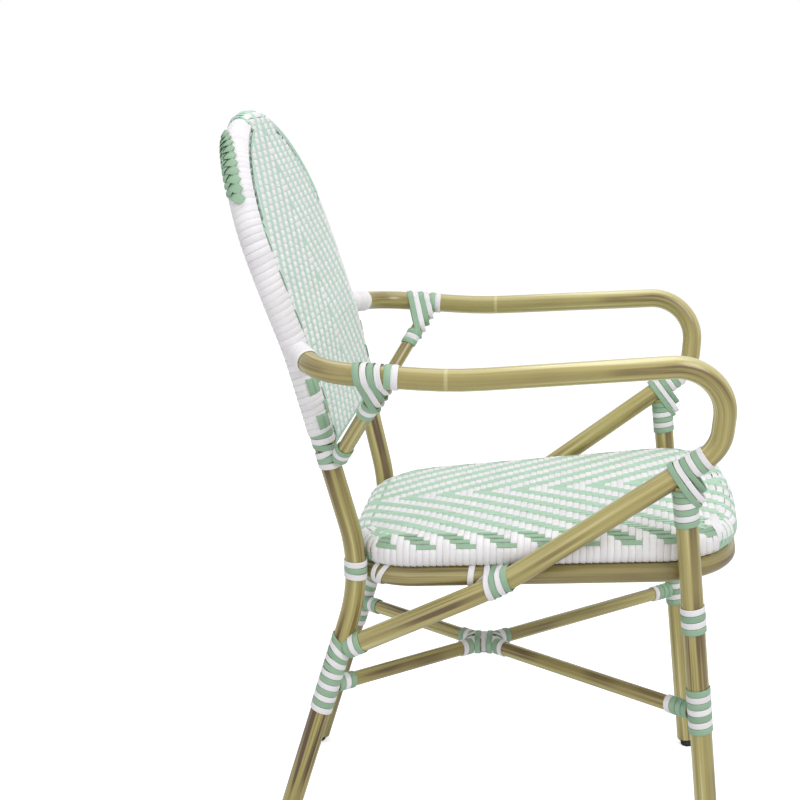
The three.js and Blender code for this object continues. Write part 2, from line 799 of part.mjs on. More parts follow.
// A blind bore up a leg from its foot, for the glide's stem
function stemBore(path, fromEnd) {
  const foot = footOf(path, fromEnd);
  const start = foot.point.clone().addScaledVector(foot.up, -CUT_OVERRUN);
  const end = foot.point.clone().addScaledVector(foot.up, GLIDE_STEM + CUT_OVERRUN);
  return tubeGeometry(new StationPath([start, end]), frameRadius - TUBE_WALL);
}

function footOf(path, fromEnd) {
  const foot = path.along(fromEnd ? path.total : 0);
  const up = fromEnd ? foot.run.clone().negate() : foot.run;
  return { point: foot.point, up };
}

function rearFrameTube() {
  return cutBy(tubeGeometry(rearFrame, frameRadius), [stemBore(rearFrame, false), stemBore(rearFrame, true)]);
}

function armTube(side) {
  return fitted(tubeGeometry(armPaths[side], frameRadius), [aroundRearFrame]);
}

function frontLegTube(side) {
  const bore = stemBore(frontLegPaths[side], false);
  return fitted(tubeGeometry(frontLegPaths[side], frameRadius), [aroundArm[side], bore]);
}

function strutTube(side) {
  return fitted(tubeGeometry(strutPaths[side], braceRadius), [aroundArm[side], aroundRearFrame]);
}

function wholeStretcherTube() {
  return fitted(tubeGeometry(wholeStretcher, braceRadius), [aroundRearFrame, aroundFrontLeg[1]]);
}

function halfStretcherTube(path, aroundLeg) {
  return fitted(tubeGeometry(path, braceRadius), [aroundWhole, aroundLeg]);
}

function railTube() {
  return fitted(tubeGeometry(rail, braceRadius), [aroundRearFrame]);
}

// A lathe-turned glide on a stem, trimmed level where the chair stands
function glide({ point, up }) {
  const stem = frameRadius - TUBE_WALL - 2 * CLEARANCE;
  const radius = GLIDE_DIAMETER / 2;
  const collar = frameRadius - TUBE_WALL / 2;
  const geometry = turned([
    [0, -GLIDE_SHOW - radius],
    [radius, -GLIDE_SHOW - radius],
    [radius, -TUBE_WALL - CLEARANCE],
    [collar, -TUBE_WALL - CLEARANCE],
    [collar, -CLEARANCE],
    [stem, -CLEARANCE],
    [stem, GLIDE_STEM - TUBE_WALL],
    [stem - TUBE_WALL, GLIDE_STEM],
    [0, GLIDE_STEM],
  ]);
  geometry.applyQuaternion(new THREE.Quaternion().setFromUnitVectors(DEPTH, up));
  geometry.translate(point.x, point.y, point.z);
  const floor = new THREE.BoxGeometry(2 * FRAME_DIAMETER, 2 * FRAME_DIAMETER, 2 * FRAME_DIAMETER);
  floor.translate(point.x, point.y, -FRAME_DIAMETER);
  return cutBy(geometry, [floor]);
}

// A profile of radius and height, turned about +Y
function turned(profile) {
  return new THREE.LatheGeometry(
    profile.map(([radius, height]) => new THREE.Vector2(radius, height)),
    SLEEVE_SIDES
  );
}

// The woven rim: strand wrapped round the hoop from one end of the rail over the crown to the other
function rimWeave() {
  const sleeve = plainSleeve(rim, 0, rim.total, rimInner, rimOuter);
  return fitted(sleeve, [aroundRail, ...SIDES.flatMap(({ side }) => [aroundArm[side], aroundStrut[side]])]);
}

function railWeave() {
  const sleeve = plainSleeve(rail, 0, rail.total, railInner, railOuter);
  return fitted(sleeve, [aroundRim, aroundRearFrame]);
}

// The woven back: a sheet over the front of the rim and the rail, drawn between four edge curves
function backPanel() {
  const start = rearDistance(RAIL_HEIGHT - railOuter, 1);
  const quarter = start + (rearFrame.total / 2 - start) * PANEL_SIDE_SHARE;
  const leftEdge = (v) => panelEdge(THREE.MathUtils.lerp(start, quarter, v));
  const rightEdge = (v) => mirrored(leftEdge(v));
  const topEdge = (u) => panelEdge(THREE.MathUtils.lerp(quarter, rearFrame.total - quarter, u));
  const bottomEdge = (u) => leftEdge(0).lerp(rightEdge(0), u);
  return sheetBetween({ leftEdge, rightEdge, topEdge, bottomEdge });
}

// The panel's edge lies against the rim, turned from the inner side of the hoop toward the sitter. The rim's
// flats leave it clear.
function panelEdge(distance) {
  const { point, tangent } = rearFrame.along(distance);
  const slope = new THREE.Vector3(0, SHOULDER_BACK - BACK_TURN_BACK, SHOULDER_HEIGHT - BACK_TURN_HEIGHT);
  const facing = LATERAL.clone().cross(slope).normalize();
  const inward = facing.clone().cross(tangent).normalize();
  const middle = new THREE.Vector3(0, SHOULDER_BACK, SHOULDER_HEIGHT);
  if (inward.dot(middle.sub(point)) < 0) {
    inward.negate();
  }
  const reach = rimOuter + (PANEL_THICKNESS / 2) * Math.sin(PANEL_EDGE_TURN);
  point.addScaledVector(inward, reach * Math.cos(PANEL_EDGE_TURN));
  return point.addScaledVector(facing, reach * Math.sin(PANEL_EDGE_TURN));
}

function sheetBetween({ leftEdge, rightEdge, topEdge, bottomEdge }) {
  const front = [];
  const back = [];
  for (let row = 0; row <= PANEL_ROWS; row += 1) {
    for (let column = 0; column <= PANEL_COLUMNS; column += 1) {
      const u = column / PANEL_COLUMNS;
      const v = row / PANEL_ROWS;
      const sides = leftEdge(v).lerp(rightEdge(v), u);
      const ends = bottomEdge(u).lerp(topEdge(u), v);
      const lower = leftEdge(0).lerp(rightEdge(0), u);
      const upper = leftEdge(1).lerp(rightEdge(1), u);
      const point = sides.add(ends).sub(lower.lerp(upper, v));
      point.y += PANEL_DISH * Math.sin(Math.PI * u) * Math.sin(Math.PI * v);
      front.push(point.clone().setY(point.y - PANEL_THICKNESS / 2));
      back.push(point.clone().setY(point.y + PANEL_THICKNESS / 2));
    }
  }
  return closedSheet(front, back, PANEL_COLUMNS, PANEL_ROWS);
}

// Two grids of points closed round their edge
function closedSheet(front, back, columns, rows) {
  const wide = columns + 1;
  const offset = front.length;
  const index = [];
  const quad = (a, b, c, d) => index.push(a, b, c, a, c, d);
  for (let row = 0; row < rows; row += 1) {
    for (let column = 0; column < columns; column += 1) {
      const a = row * wide + column;
      quad(a, a + 1, a + wide + 1, a + wide);
      quad(offset + a, offset + a + wide, offset + a + wide + 1, offset + a + 1);
    }
  }
  const rim = [];
  for (let column = 0; column < columns; column += 1) {
    rim.push(column);
  }
  for (let row = 0; row < rows; row += 1) {
    rim.push(row * wide + columns);
  }
  for (let column = columns; column > 0; column -= 1) {
    rim.push(rows * wide + column);
  }
  for (let row = rows; row > 0; row -= 1) {
    rim.push(row * wide);
  }
  rim.forEach((a, i) => {
    const b = rim[(i + 1) % rim.length];
    quad(b, a, offset + a, offset + b);
  });
  return closedGeometry([...front, ...back], index);
}

// A bar across the seat ring. Its top is level with the ring's, and two screws pass up through it.
function crossBar(front) {
  const lift = frameRadius - braceRadius;
  const end = (side) => new THREE.Vector3(side * ringSide(-front), -front, seatPlane(-front) + lift);
  const holes = SIDES.map(({ side }) => screwHole(side, front));
  return fitted(tubeGeometry(new StationPath([end(-1), end(1)]), braceRadius), [aroundRing, ...holes]);
}

// Underside of a cross bar at a screw
function screwSeat(side, front) {
  const drop = 2 * braceRadius - frameRadius;
  return new THREE.Vector3((side * SCREW_SPREAD) / 2, -front, seatPlane(-front) - drop);
}

function screwHole(side, front) {
  const seat = screwSeat(side, front);
  const bottom = seat.clone().setZ(seat.z - BRACE_DIAMETER);
  const top = seat.clone().setZ(seat.z + BRACE_DIAMETER + SCREW_BITE + CLEARANCE);
  return tubeGeometry(new StationPath([bottom, top]), clearRadius(SCREW_SHANK / 2));
}

// A pan-head screw up through a cross bar into the seat
function seatScrew(side, front) {
  const shank = SCREW_SHANK / 2;
  const head = SCREW_HEAD / 2;
  const geometry = turned([
    [0, -CLEARANCE - SCREW_HEAD_HEIGHT],
    [head - SCREW_HEAD_HEIGHT / 2, -CLEARANCE - SCREW_HEAD_HEIGHT],
    [head, -CLEARANCE - SCREW_HEAD_HEIGHT / 2],
    [head, -CLEARANCE],
    [shank, -CLEARANCE],
    [shank, BRACE_DIAMETER + SCREW_BITE - shank],
    [0, BRACE_DIAMETER + SCREW_BITE],
  ]);
  const seat = screwSeat(side, front);
  geometry.rotateX(Math.PI / 2);
  geometry.translate(seat.x, seat.y, seat.z);
  return toGeometry(toSolid(geometry));
}

// The woven seat: rings drawn in from the seat ring's outer line up a rolled edge and over a low crown
function wovenSeat() {
  const outline = seatOutline();
  const sum = outline.reduce((total, point) => total.add(point), new THREE.Vector3());
  const centre = sum.divideScalar(outline.length);
  const drop = frameRadius + CLEARANCE;
  const rolled = SEAT_EDGE_SHARES.map(([inset, height]) =>
    outline.map((point) => {
      const inward = centre.clone().sub(point).setZ(0).normalize();
      const moved = point.clone().addScaledVector(inward, inset * SEAT_THICKNESS);
      return moved.setZ(seatPlane(moved.y) + drop + height * SEAT_THICKNESS);
    })
  );
  const rim = rolled[rolled.length - 1];
  const crown = SEAT_CROWN_SHARES.map((share) =>
    rim.map((point) => {
      const moved = centre.clone().lerp(point, share);
      const lift = SEAT_CROWN * (1 - share * share);
      return moved.setZ(seatPlane(moved.y) + drop + SEAT_THICKNESS + lift);
    })
  );
  const holes = [BAR_FRONT, BAR_REAR].flatMap((front) => SIDES.map(({ side }) => screwHole(side, front)));
  const notches = SIDES.flatMap(({ side }) => [ringGrip(side), kneeGrip(side)]);
  return cutBy(skinned([...rolled, ...crown]), [...holes, ...notches]);
}

function seatOutline() {
  const points = [];
  for (let i = 0; i < SEAT_STOPS; i += 1) {
    const { point, tangent } = seatRing.along((seatRing.total * (i + 1 / 2)) / SEAT_STOPS);
    const outward = tangent.clone().cross(UP).setZ(0).normalize();
    const fromMiddle = point.clone().setZ(0).add(new THREE.Vector3(0, RING_FRONT / 2, 0));
    if (outward.dot(fromMiddle) < 0) {
      outward.negate();
    }
    points.push(point.clone().addScaledVector(outward, frameRadius - CLEARANCE));
  }
  return points;
}

// Bindings on one tube, and sleeves joined where strand runs from one tube to the next
function legBand(side) {
  return bandSleeve(frontLegPaths[side], legDistance(side, LEG_BAND_HEIGHT), LEG_BAND_BANDS, frameRadius);
}

function legWrap(side, height, bands) {
  return wrapSleeve(frontLegPaths[side], legDistance(side, height), bands, frameRadius);
}

function legDistance(side, height) {
  return frontLegPaths[side].distanceWhere((point) => point.z, height);
}

// A collar of bands on a tube beside the leg that its end meets
function endCollar(path, fromEnd, bands, radius) {
  const reach = frameRadius + (bands * BAND_PITCH) / 2;
  return wrapSleeve(path, fromEnd ? path.total - reach : reach, bands, radius);
}

// Sleeves on tubes that meet: each is cut by the other tubes, then they are joined
function jointBinding(wraps, cutters = []) {
  const pieces = wraps.map(({ sleeve, around }) => {
    const others = wraps.map((wrap) => wrap.around).filter((other) => other && other !== around);
    return cutSolid(toSolid(sleeve), [...new Set(others)]);
  });
  const whole = pieces.reduce((sum, piece) => sum.add(piece));
  return toGeometry(largestPiece(cutSolid(whole, cutters)));
}

// Strand round the arm's root, placed where the arm has left the rim at whatever angle it takes
function armRootBinding(side) {
  const { tangent: armRun } = armPaths[side].along(0);
  const { tangent: rimRun } = rearFrame.along(rearDistance(ARM_ROOT_HEIGHT, side));
  const lean = Math.abs(armRun.dot(rimRun));
  const leaves = (rimOuter * (1 + lean)) / Math.sqrt(1 - lean * lean);
  const middle = leaves + CLEARANCE + (ARM_ROOT_BANDS * BAND_PITCH) / 2;
  return fitted(bandSleeve(armPaths[side], middle, ARM_ROOT_BANDS, frameRadius), [aroundRim]);
}

function backFootBinding(side) {
  const top = rearDistance(RAIL_HEIGHT - railOuter - 2 * CLEARANCE, 1);
  const half = (BACK_FOOT_BINDING_BANDS * BAND_PITCH) / 2;
  const middle = side > 0 ? top - half : rearFrame.total - top + half;
  const sleeve = wrapSleeve(rearFrame, middle, BACK_FOOT_BINDING_BANDS, frameRadius);
  const collar = endCollar(strutPaths[side], true, COLLAR_BANDS, braceRadius);
  const wraps = [
    { sleeve, around: aroundRearFrame },
    { sleeve: collar, around: aroundStrut[side] },
  ];
  return jointBinding(wraps, [aroundRim, aroundRailWeave]);
}

// Straps at the knee hold the seat ring to the rear leg
function kneeBinding(side) {
  const middle = rearDistance(KNEE_BINDING_HEIGHT, side);
  const sleeve = wrapSleeve(rearFrame, middle, KNEE_BINDING_BANDS, frameRadius);
  const strap = wrapSleeve(seatRing, kneeRingDistance(side), KNEE_STRAP_BANDS, frameRadius);
  return jointBinding([
    { sleeve, around: aroundRearFrame },
    { sleeve: strap, around: aroundRing },
  ]);
}

function kneeRingDistance(side) {
  return nearestOnRing(rearAt(seatPlane(ringRear().back), side));
}

// Room in the seat's underside for the straps at the knee
function kneeGrip(side) {
  const middle = kneeRingDistance(side);
  const half = (KNEE_STRAP_BANDS * BAND_PITCH) / 2 + 2 * CLEARANCE;
  const stops = seatRing.stretch(middle - half, middle + half);
  const outer = clearRadius(clearRadius(frameRadius, SLEEVE_SIDES) + STRAND_THICKNESS);
  return skinned(stops.map((distance) => ringAt(seatRing, distance, outer, TUBE_SIDES)));
}

function rearLegBinding(side) {
  const middle = rearDistance(REAR_BINDING_HEIGHT, side);
  const sleeve = wrapSleeve(rearFrame, middle, REAR_BINDING_BANDS, frameRadius);
  const brace = endCollar(armPaths[side], true, COLLAR_BANDS, frameRadius);
  const stretcher = side < 0 ? wholeStretcher : rearHalf;
  const collar = endCollar(stretcher, side > 0, COLLAR_BANDS, braceRadius);
  return jointBinding([
    { sleeve, around: aroundRearFrame },
    { sleeve: brace, around: aroundArm[side] },
    { sleeve: collar, around: side < 0 ? aroundWhole : aroundHalved },
  ]);
}

function stretcherBinding(side) {
  const sleeve = legWrap(side, STRETCHER_BINDING_HEIGHT, STRETCHER_BINDING_BANDS);
  const stretcher = side < 0 ? frontHalf : wholeStretcher;
  const collar = endCollar(stretcher, true, COLLAR_BANDS, braceRadius);
  return jointBinding([
    { sleeve, around: aroundFrontLeg[side] },
    { sleeve: collar, around: side < 0 ? aroundHalved : aroundWhole },
  ]);
}

function legTopBinding(side) {
  const sleeve = legWrap(side, legMeetHeight(side) - LEG_TOP_BINDING_DROP, LEG_TOP_BINDING_BANDS);
  const middle = braceDistance(side, -HAND_BINDING_FRONT);
  const hand = wrapSleeve(armPaths[side], middle, HAND_BINDING_BANDS, frameRadius);
  return jointBinding([
    { sleeve, around: aroundFrontLeg[side] },
    { sleeve: hand, around: aroundArm[side] },
  ]);
}

// The lashing at the crossing runs out along both stretchers
function crossingLashing() {
  const meet = wholeStretcher.points[0].distanceTo(stretcherMeet);
  const halvedMeet = halvedStretcher.points[0].distanceTo(stretcherMeet);
  return jointBinding([
    { sleeve: wrapSleeve(wholeStretcher, meet, LASHING_BANDS, braceRadius), around: aroundWhole },
    { sleeve: wrapSleeve(halvedStretcher, halvedMeet, LASHING_BANDS, braceRadius), around: aroundHalved },
  ]);
}

// The arm binding crosses from the arm down to the strut, behind the strut: one strand tight round both
function armBindingFrame(side) {
  const arm = armPaths[side];
  const strut = strutPaths[side];
  const joint = armDistance(side, -STRUT_TOP_FRONT);
  return (share) => {
    const reach = THREE.MathUtils.lerp(ARM_BINDING_TO, ARM_BINDING_FROM, share);
    const top = arm.along(joint - reach);
    const foot = strut.along(reach * ARM_BINDING_SLANT_SHARE);
    const along = top.point.clone().sub(foot.point).normalize();
    const facing = top.run.clone().cross(foot.run);
    const normal = along.clone().cross(facing).normalize();
    const sections = [
      { point: top.point, direction: top.run, radius: frameRadius },
      { point: foot.point, direction: foot.run, radius: braceRadius },
    ];
    return { sections, origin: top.point, normal, along };
  };
}

// The ring binding holds the brace to the seat ring where the two pass
function ringBindingFrame(side) {
  const arm = armPaths[side];
  const braceMiddle = braceDistance(side, -bracePassFront());
  const passing = arm.along(braceMiddle);
  const ringMiddle = nearestOnRing(passing.point);
  const { point: held, run: ringRun } = seatRing.along(ringMiddle);
  const forward = ringRun.dot(passing.run) > 0 ? 1 : -1;
  const normal = passing.run.clone().addScaledVector(ringRun, forward).normalize();
  const apart = passing.point.clone().sub(held);
  const along = apart.addScaledVector(normal, -apart.dot(normal)).normalize();
  return (share) => {
    const step = (share - 1 / 2) * RING_BINDING_LENGTH;
    const brace = arm.along(braceMiddle + step);
    const ring = seatRing.along(ringMiddle + forward * step);
    const origin = passing.point.clone().addScaledVector(normal, step);
    const sections = [
      { point: brace.point, direction: brace.run, radius: frameRadius },
      { point: ring.point, direction: ring.run, radius: frameRadius },
    ];
    return { sections, origin, normal, along };
  };
}

// Distance along the seat ring at which it comes nearest to a point
function nearestOnRing(point) {
  let nearest = 0;
  for (let i = 0; i <= RING_SEARCH_STEPS; i += 1) {
    const distance = (seatRing.total * i) / RING_SEARCH_STEPS;
    if (seatRing.along(distance).point.distanceTo(point) < seatRing.along(nearest).point.distanceTo(point)) {
      nearest = distance;
    }
  }
  return nearest;
}

// Room in the seat's underside for the ring binding
function ringGrip(side) {
  const frameAt = ringBindingFrame(side);
  const reach = BAND_LIFT + STRAND_THICKNESS + CLEARANCE;
  const shares = [-RING_GRIP_SHARE, 1 / 2, 1 + RING_GRIP_SHARE];
  const rings = shares.map((share) => {
    const { sections, origin, normal, along } = frameAt(share);
    const across = along.clone().cross(normal).normalize();
    const outlines = sections.flatMap(({ point, direction, radius }) =>
      ovalInPlane(point, direction, radius + reach, origin, normal)
    );
    const loop = tightLoop(outlines, origin, across, along);
    return Array.from({ length: LOOP_STEPS }, (_, i) => pointRound(loop, origin, along, i / LOOP_STEPS));
  });
  return skinned(rings);
}

function wound(name, turns, frameAt) {
  const { geometry, gap } = tieWinding(turns, frameAt);
  console.log(`${name}: ${turns} turns, least gap between turns ${gap.toFixed(2)} mm`);
  return geometry;
}

const chair = new THREE.Group();
const frame = new THREE.Group();
const weave = new THREE.Group();
const bindings = new THREE.Group();
chair.add(frame, weave, bindings);

function addPart(group, name, geometry, finish) {
  const mesh = new THREE.Mesh(geometry, new THREE.MeshStandardMaterial(finish));
  mesh.name = name;
  group.add(mesh);
}

addPart(frame, "rear_frame_tube", rearFrameTube(), LACQUER);
addPart(frame, "back_rail_tube", railTube(), LACQUER);
addPart(frame, "seat_ring_tube", tubeGeometry(seatRing, frameRadius), LACQUER);
addPart(frame, "seat_bar_front", crossBar(BAR_FRONT), LACQUER);
addPart(frame, "seat_bar_rear", crossBar(BAR_REAR), LACQUER);
addPart(frame, "stretcher_whole", wholeStretcherTube(), LACQUER);
addPart(frame, "stretcher_front_half", halfStretcherTube(frontHalf, aroundFrontLeg[-1]), LACQUER);
addPart(frame, "stretcher_rear_half", halfStretcherTube(rearHalf, aroundRearFrame), LACQUER);
addPart(weave, "rim_weave", rimWeave(), STRAND_WHITE);
addPart(weave, "rail_weave", railWeave(), STRAND_WHITE);
addPart(weave, "back_panel_weave", backPanel(), STRAND_GREEN);
addPart(weave, "seat_weave", wovenSeat(), STRAND_GREEN);
addPart(bindings, "stretcher_lashing", crossingLashing(), STRAND_GREEN);

for (const { side, word } of SIDES) {
  addPart(frame, `arm_tube_${word}`, armTube(side), LACQUER);
  addPart(frame, `arm_strut_${word}`, strutTube(side), LACQUER);
  addPart(frame, `front_leg_${word}`, frontLegTube(side), LACQUER);
  addPart(frame, `front_glide_${word}`, glide(footOf(frontLegPaths[side], false)), BLACK_PLASTIC);
  addPart(frame, `rear_glide_${word}`, glide(footOf(rearFrame, side < 0)), BLACK_PLASTIC);
  addPart(frame, `seat_screw_front_${word}`, seatScrew(side, BAR_FRONT), ZINC_STEEL);
  addPart(frame, `seat_screw_rear_${word}`, seatScrew(side, BAR_REAR), ZINC_STEEL);
  const armBinding = wound(`arm_binding_${word}`, ARM_BINDING_TURNS, armBindingFrame(side));
  addPart(bindings, `arm_binding_${word}`, armBinding, STRAND_GREEN);
  const ringBinding = wound(`ring_binding_${word}`, RING_BINDING_TURNS, ringBindingFrame(side));
  addPart(bindings, `ring_binding_${word}`, ringBinding, STRAND_WHITE);
  addPart(bindings, `arm_root_binding_${word}`, armRootBinding(side), STRAND_WHITE);
  addPart(bindings, `back_foot_binding_${word}`, backFootBinding(side), STRAND_WHITE);
  addPart(bindings, `knee_binding_${word}`, kneeBinding(side), STRAND_WHITE);
  addPart(bindings, `rear_leg_binding_${word}`, rearLegBinding(side), STRAND_GREEN);
  addPart(bindings, `leg_top_binding_${word}`, legTopBinding(side), STRAND_GREEN);
  addPart(bindings, `leg_band_${word}`, legBand(side), STRAND_WHITE);
  addPart(bindings, `stretcher_binding_${word}`, stretcherBinding(side), STRAND_GREEN);
}

// The origin is the middle of the chair's footprint, on the floor
const bounds = new THREE.Box3().setFromObject(chair);
chair.position.y = -(bounds.min.y + bounds.max.y) / 2;
chair.updateMatrixWorld(true);

export default chair;
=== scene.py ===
"""Woven bistro armchair: the look of the chair over its CAD frame.

Metres, +Z up. The chair faces -Y and +X is the sitter's left. Every piece keeps its place in its mesh.
"""
import json
import logging
import math
from bisect import bisect_left
from dataclasses import dataclass, field
from enum import Enum
from functools import cache
from typing import Callable, Sequence

import bmesh
import bpy
from mathutils import Matrix, Vector
from mathutils.kdtree import KDTree

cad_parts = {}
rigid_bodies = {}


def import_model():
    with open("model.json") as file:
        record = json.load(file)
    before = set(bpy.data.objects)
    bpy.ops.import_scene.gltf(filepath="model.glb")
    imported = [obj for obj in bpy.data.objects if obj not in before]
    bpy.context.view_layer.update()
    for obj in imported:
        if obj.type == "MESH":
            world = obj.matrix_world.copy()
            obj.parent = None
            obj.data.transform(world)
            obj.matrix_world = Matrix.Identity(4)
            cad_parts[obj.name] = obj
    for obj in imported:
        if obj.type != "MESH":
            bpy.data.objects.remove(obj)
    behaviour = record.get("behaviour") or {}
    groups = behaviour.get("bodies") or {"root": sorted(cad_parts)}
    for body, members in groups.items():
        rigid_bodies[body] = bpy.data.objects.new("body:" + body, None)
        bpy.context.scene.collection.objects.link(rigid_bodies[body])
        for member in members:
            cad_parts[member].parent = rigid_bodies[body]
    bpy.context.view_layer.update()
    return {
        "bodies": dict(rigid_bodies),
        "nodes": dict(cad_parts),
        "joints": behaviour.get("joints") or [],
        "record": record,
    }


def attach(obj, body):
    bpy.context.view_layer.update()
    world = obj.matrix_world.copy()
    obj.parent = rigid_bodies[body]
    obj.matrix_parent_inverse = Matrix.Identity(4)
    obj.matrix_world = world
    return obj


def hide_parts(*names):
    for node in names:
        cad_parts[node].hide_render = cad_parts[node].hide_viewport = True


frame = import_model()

log = logging.getLogger("chair")

Ring = list[Vector]
Spot = tuple[float, float]
Triple = tuple[float, float, float]
Quad = tuple[float, float, float, float]
Edge = tuple[Vector, Vector]
Section = tuple[Vector, Vector, float]
Stop = tuple[Vector, Vector, float, float]
Tree = bpy.types.NodeTree
Socket = bpy.types.NodeSocket
Sockets = dict[str, Socket]

UP = Vector((0.0, 0.0, 1.0))
LATERAL = Vector((1.0, 0.0, 0.0))
TUBE_SIDES = 28
BEND_STEP = math.radians(3.0)
TWILL_RUN = 3
RIBBON_SHAPE = ((-0.5, 0.0), (-0.38, 0.5), (0.38, 0.5), (0.5, 0.0), (0.38, -0.5), (-0.38, -0.5))
LEAST_SPAN = 1e-12
TINY = 1e-6
WELD = 1e-7
UPRIGHT = 0.8
WHOLE_WHITE = (1.0, 1.0, 1.0, 1.0)
MIX_FIRST, MIX_SECOND, MIX_RESULT = 6, 7, 2

# Factors that set the shade of each strand apart from that of its neighbours.
ROW_MARK = 0.73
COLUMN_MARK = 0.61
HALF_MARK = 0.2
ROLL_MARK = 0.83
SIDE_MARK = 0.1
END_MARK = 0.3
TURN_MARK = 0.37
STRAP_MARK = 0.41
PLAIT_MARK = 0.57
CORNER_MARK = 40.0
CORE_MARK = 0.3


class Side(Enum):
    """A side of the chair, seen by the sitter."""

    RIGHT = -1
    LEFT = 1

    @property
    def word(self) -> str:
        """The side's name as the CAD nodes spell it."""
        return self.name.lower()


class Tone(Enum):
    """The two colours of strand."""

    WHITE = "white"
    GREEN = "green"

    @property
    def other(self) -> "Tone":
        """The colour that alternates with this one."""
        return Tone.GREEN if self is Tone.WHITE else Tone.WHITE


def alternate(first: Tone, count: int) -> list[Tone]:
    """Colours of turns that alternate from a first one."""
    return [first.other if i % 2 else first for i in range(count)]


def spelled(letters: str) -> list[Tone]:
    """Colours of turns spelled out as W and G."""
    return [Tone.WHITE if letter == "W" else Tone.GREEN for letter in letters]


def srgb(red: int, green: int, blue: int) -> Quad:
    """Turn a colour of 0 to 255 a channel into linear light.

    Args:
        red: Red channel.
        green: Green channel.
        blue: Blue channel.

    Returns:
        The linear colour, opaque.
    """
    shares = (channel / 255.0 for channel in (red, green, blue))
    linear = (c / 12.92 if c <= 0.04045 else ((c + 0.055) / 1.055) ** 2.4 for c in shares)
    return (*linear, 1.0)


# Routes


def station(values: Sequence[float], goal: float) -> tuple[int, float]:
    """Find a value among rising ones.

    Args:
        values: The rising values.
        goal: The value looked for.

    Returns:
        Index of the one that follows it, and its share of the way there from the one before.
    """
    i = min(max(bisect_left(values, goal), 1), len(values) - 1)
    share = (goal - values[i - 1]) / max(values[i] - values[i - 1], LEAST_SPAN)
    return i, min(max(share, 0.0), 1.0)


def follow(keys: Sequence[float], values: Sequence[float], goal: float) -> float:
    """Read a value that changes with a rising key, between the two keys next to a goal."""
    i, share = station(keys, goal)
    return values[i - 1] + (values[i] - values[i - 1]) * share


def lengths(spots: Sequence[Spot]) -> list[float]:
    """Distance along a line of flat points at each of them.

    Args:
        spots: The points.

    Returns:
        The rising distances, from 0.
    """
    reach = [0.0]
    for a, b in zip(spots, spots[1:]):
        reach.append(reach[-1] + math.dist(a, b))
    return reach


def around(first: Vector, second: Vector, angle: float) -> Vector:
    """Turn by an angle from one cross direction towards the other."""
    return first * math.cos(angle) + second * math.sin(angle)


@dataclass
class Route:
    """A line through the chair with a direction and a steady cross direction at each station."""

    points: list[Vector]
    reach: list[float] = field(init=False)
    tangents: list[Vector] = field(init=False)
    normals: list[Vector] = field(init=False)

    def __post_init__(self) -> None:
        """Measure the line and carry a cross direction along it without twist."""
        pts = self.points
        self.reach = [0.0]
        for a, b in zip(pts, pts[1:]):
            self.reach.append(self.reach[-1] + (b - a).length)
        self.tangents = []
        for i, point in enumerate(pts):
            into = (point - pts[max(i - 1, 0)]).normalized()
            out = (pts[min(i + 1, len(pts) - 1)] - point).normalized()
            self.tangents.append((into + out).normalized())
        first = self.tangents[0]
        guide = UP if abs(first.z) < UPRIGHT else Vector((0.0, -1.0, 0.0))
        normal = (guide - first * guide.dot(first)).normalized()
        self.normals = [normal]
        for a, b in zip(self.tangents, self.tangents[1:]):
            turned = a.rotation_difference(b) @ self.normals[-1]
            self.normals.append((turned - b * turned.dot(b)).normalized())

    @property
    def total(self) -> float:
        """Length of the line."""
        return self.reach[-1]

    def at(self, distance: float) -> tuple[Vector, Vector, Vector, Vector]:
        """Find a place along the line.

        Args:
            distance: Distance from the start, held within the line.

        Returns:
            The point, the direction, and two cross directions.
        """
        i, share = station(self.reach, distance)
        point = self.points[i - 1].lerp(self.points[i], share)
        tangent = self.tangents[i - 1].lerp(self.tangents[i], share).normalized()
        normal = self.normals[i - 1].lerp(self.normals[i], share)
        normal = (normal - tangent * normal.dot(tangent)).normalized()
        return point, tangent, normal, tangent.cross(normal)

    def where(self, measure: Callable[[Vector], float], value: float, start: int = 1) -> float:
        """Find where a measure of the points first passes a value.

        Args:
            measure: What is measured of a point.
            value: The value looked for.
            start: First station looked at.

        Returns:
            Distance along the line, or its whole length.
        """
        for i in range(start, len(self.points)):
            before, after = measure(self.points[i - 1]), measure(self.points[i])
            if before != after and (before - value) * (after - value) <= 0.0:
                share = (value - before) / (after - before)
                return self.reach[i - 1] + share * (self.reach[i] - self.reach[i - 1])
        return self.total

    def stops(self, start: float, end: float, step: float) -> list[float]:
        """List the distances of a stretch.

        Args:
            start: Where the stretch starts.
            end: Where it ends.
            step: Longest step wanted between stops, besides the line's own stations.

        Returns:
            Rising distances with both ends.
        """
        marks = [start, *[d for d in self.reach if start < d < end], end]
        filled = [start]
        for a, b in zip(marks, marks[1:]):
            pieces = max(1, math.ceil((b - a) / step))
            filled += [a + (b - a) * n / pieces for n in range(1, pieces + 1)]
        return filled

    def nearest(self, target: Vector, steps: int = 400) -> float:
        """Distance along the line at which it comes nearest to a point.

        Args:
            target: The point.
            steps: How many places are tried.

        Returns:
            The distance.
        """
        tries = [self.total * i / steps for i in range(steps + 1)]
        return min(tries, key=lambda d: (self.at(d)[0] - target).length)


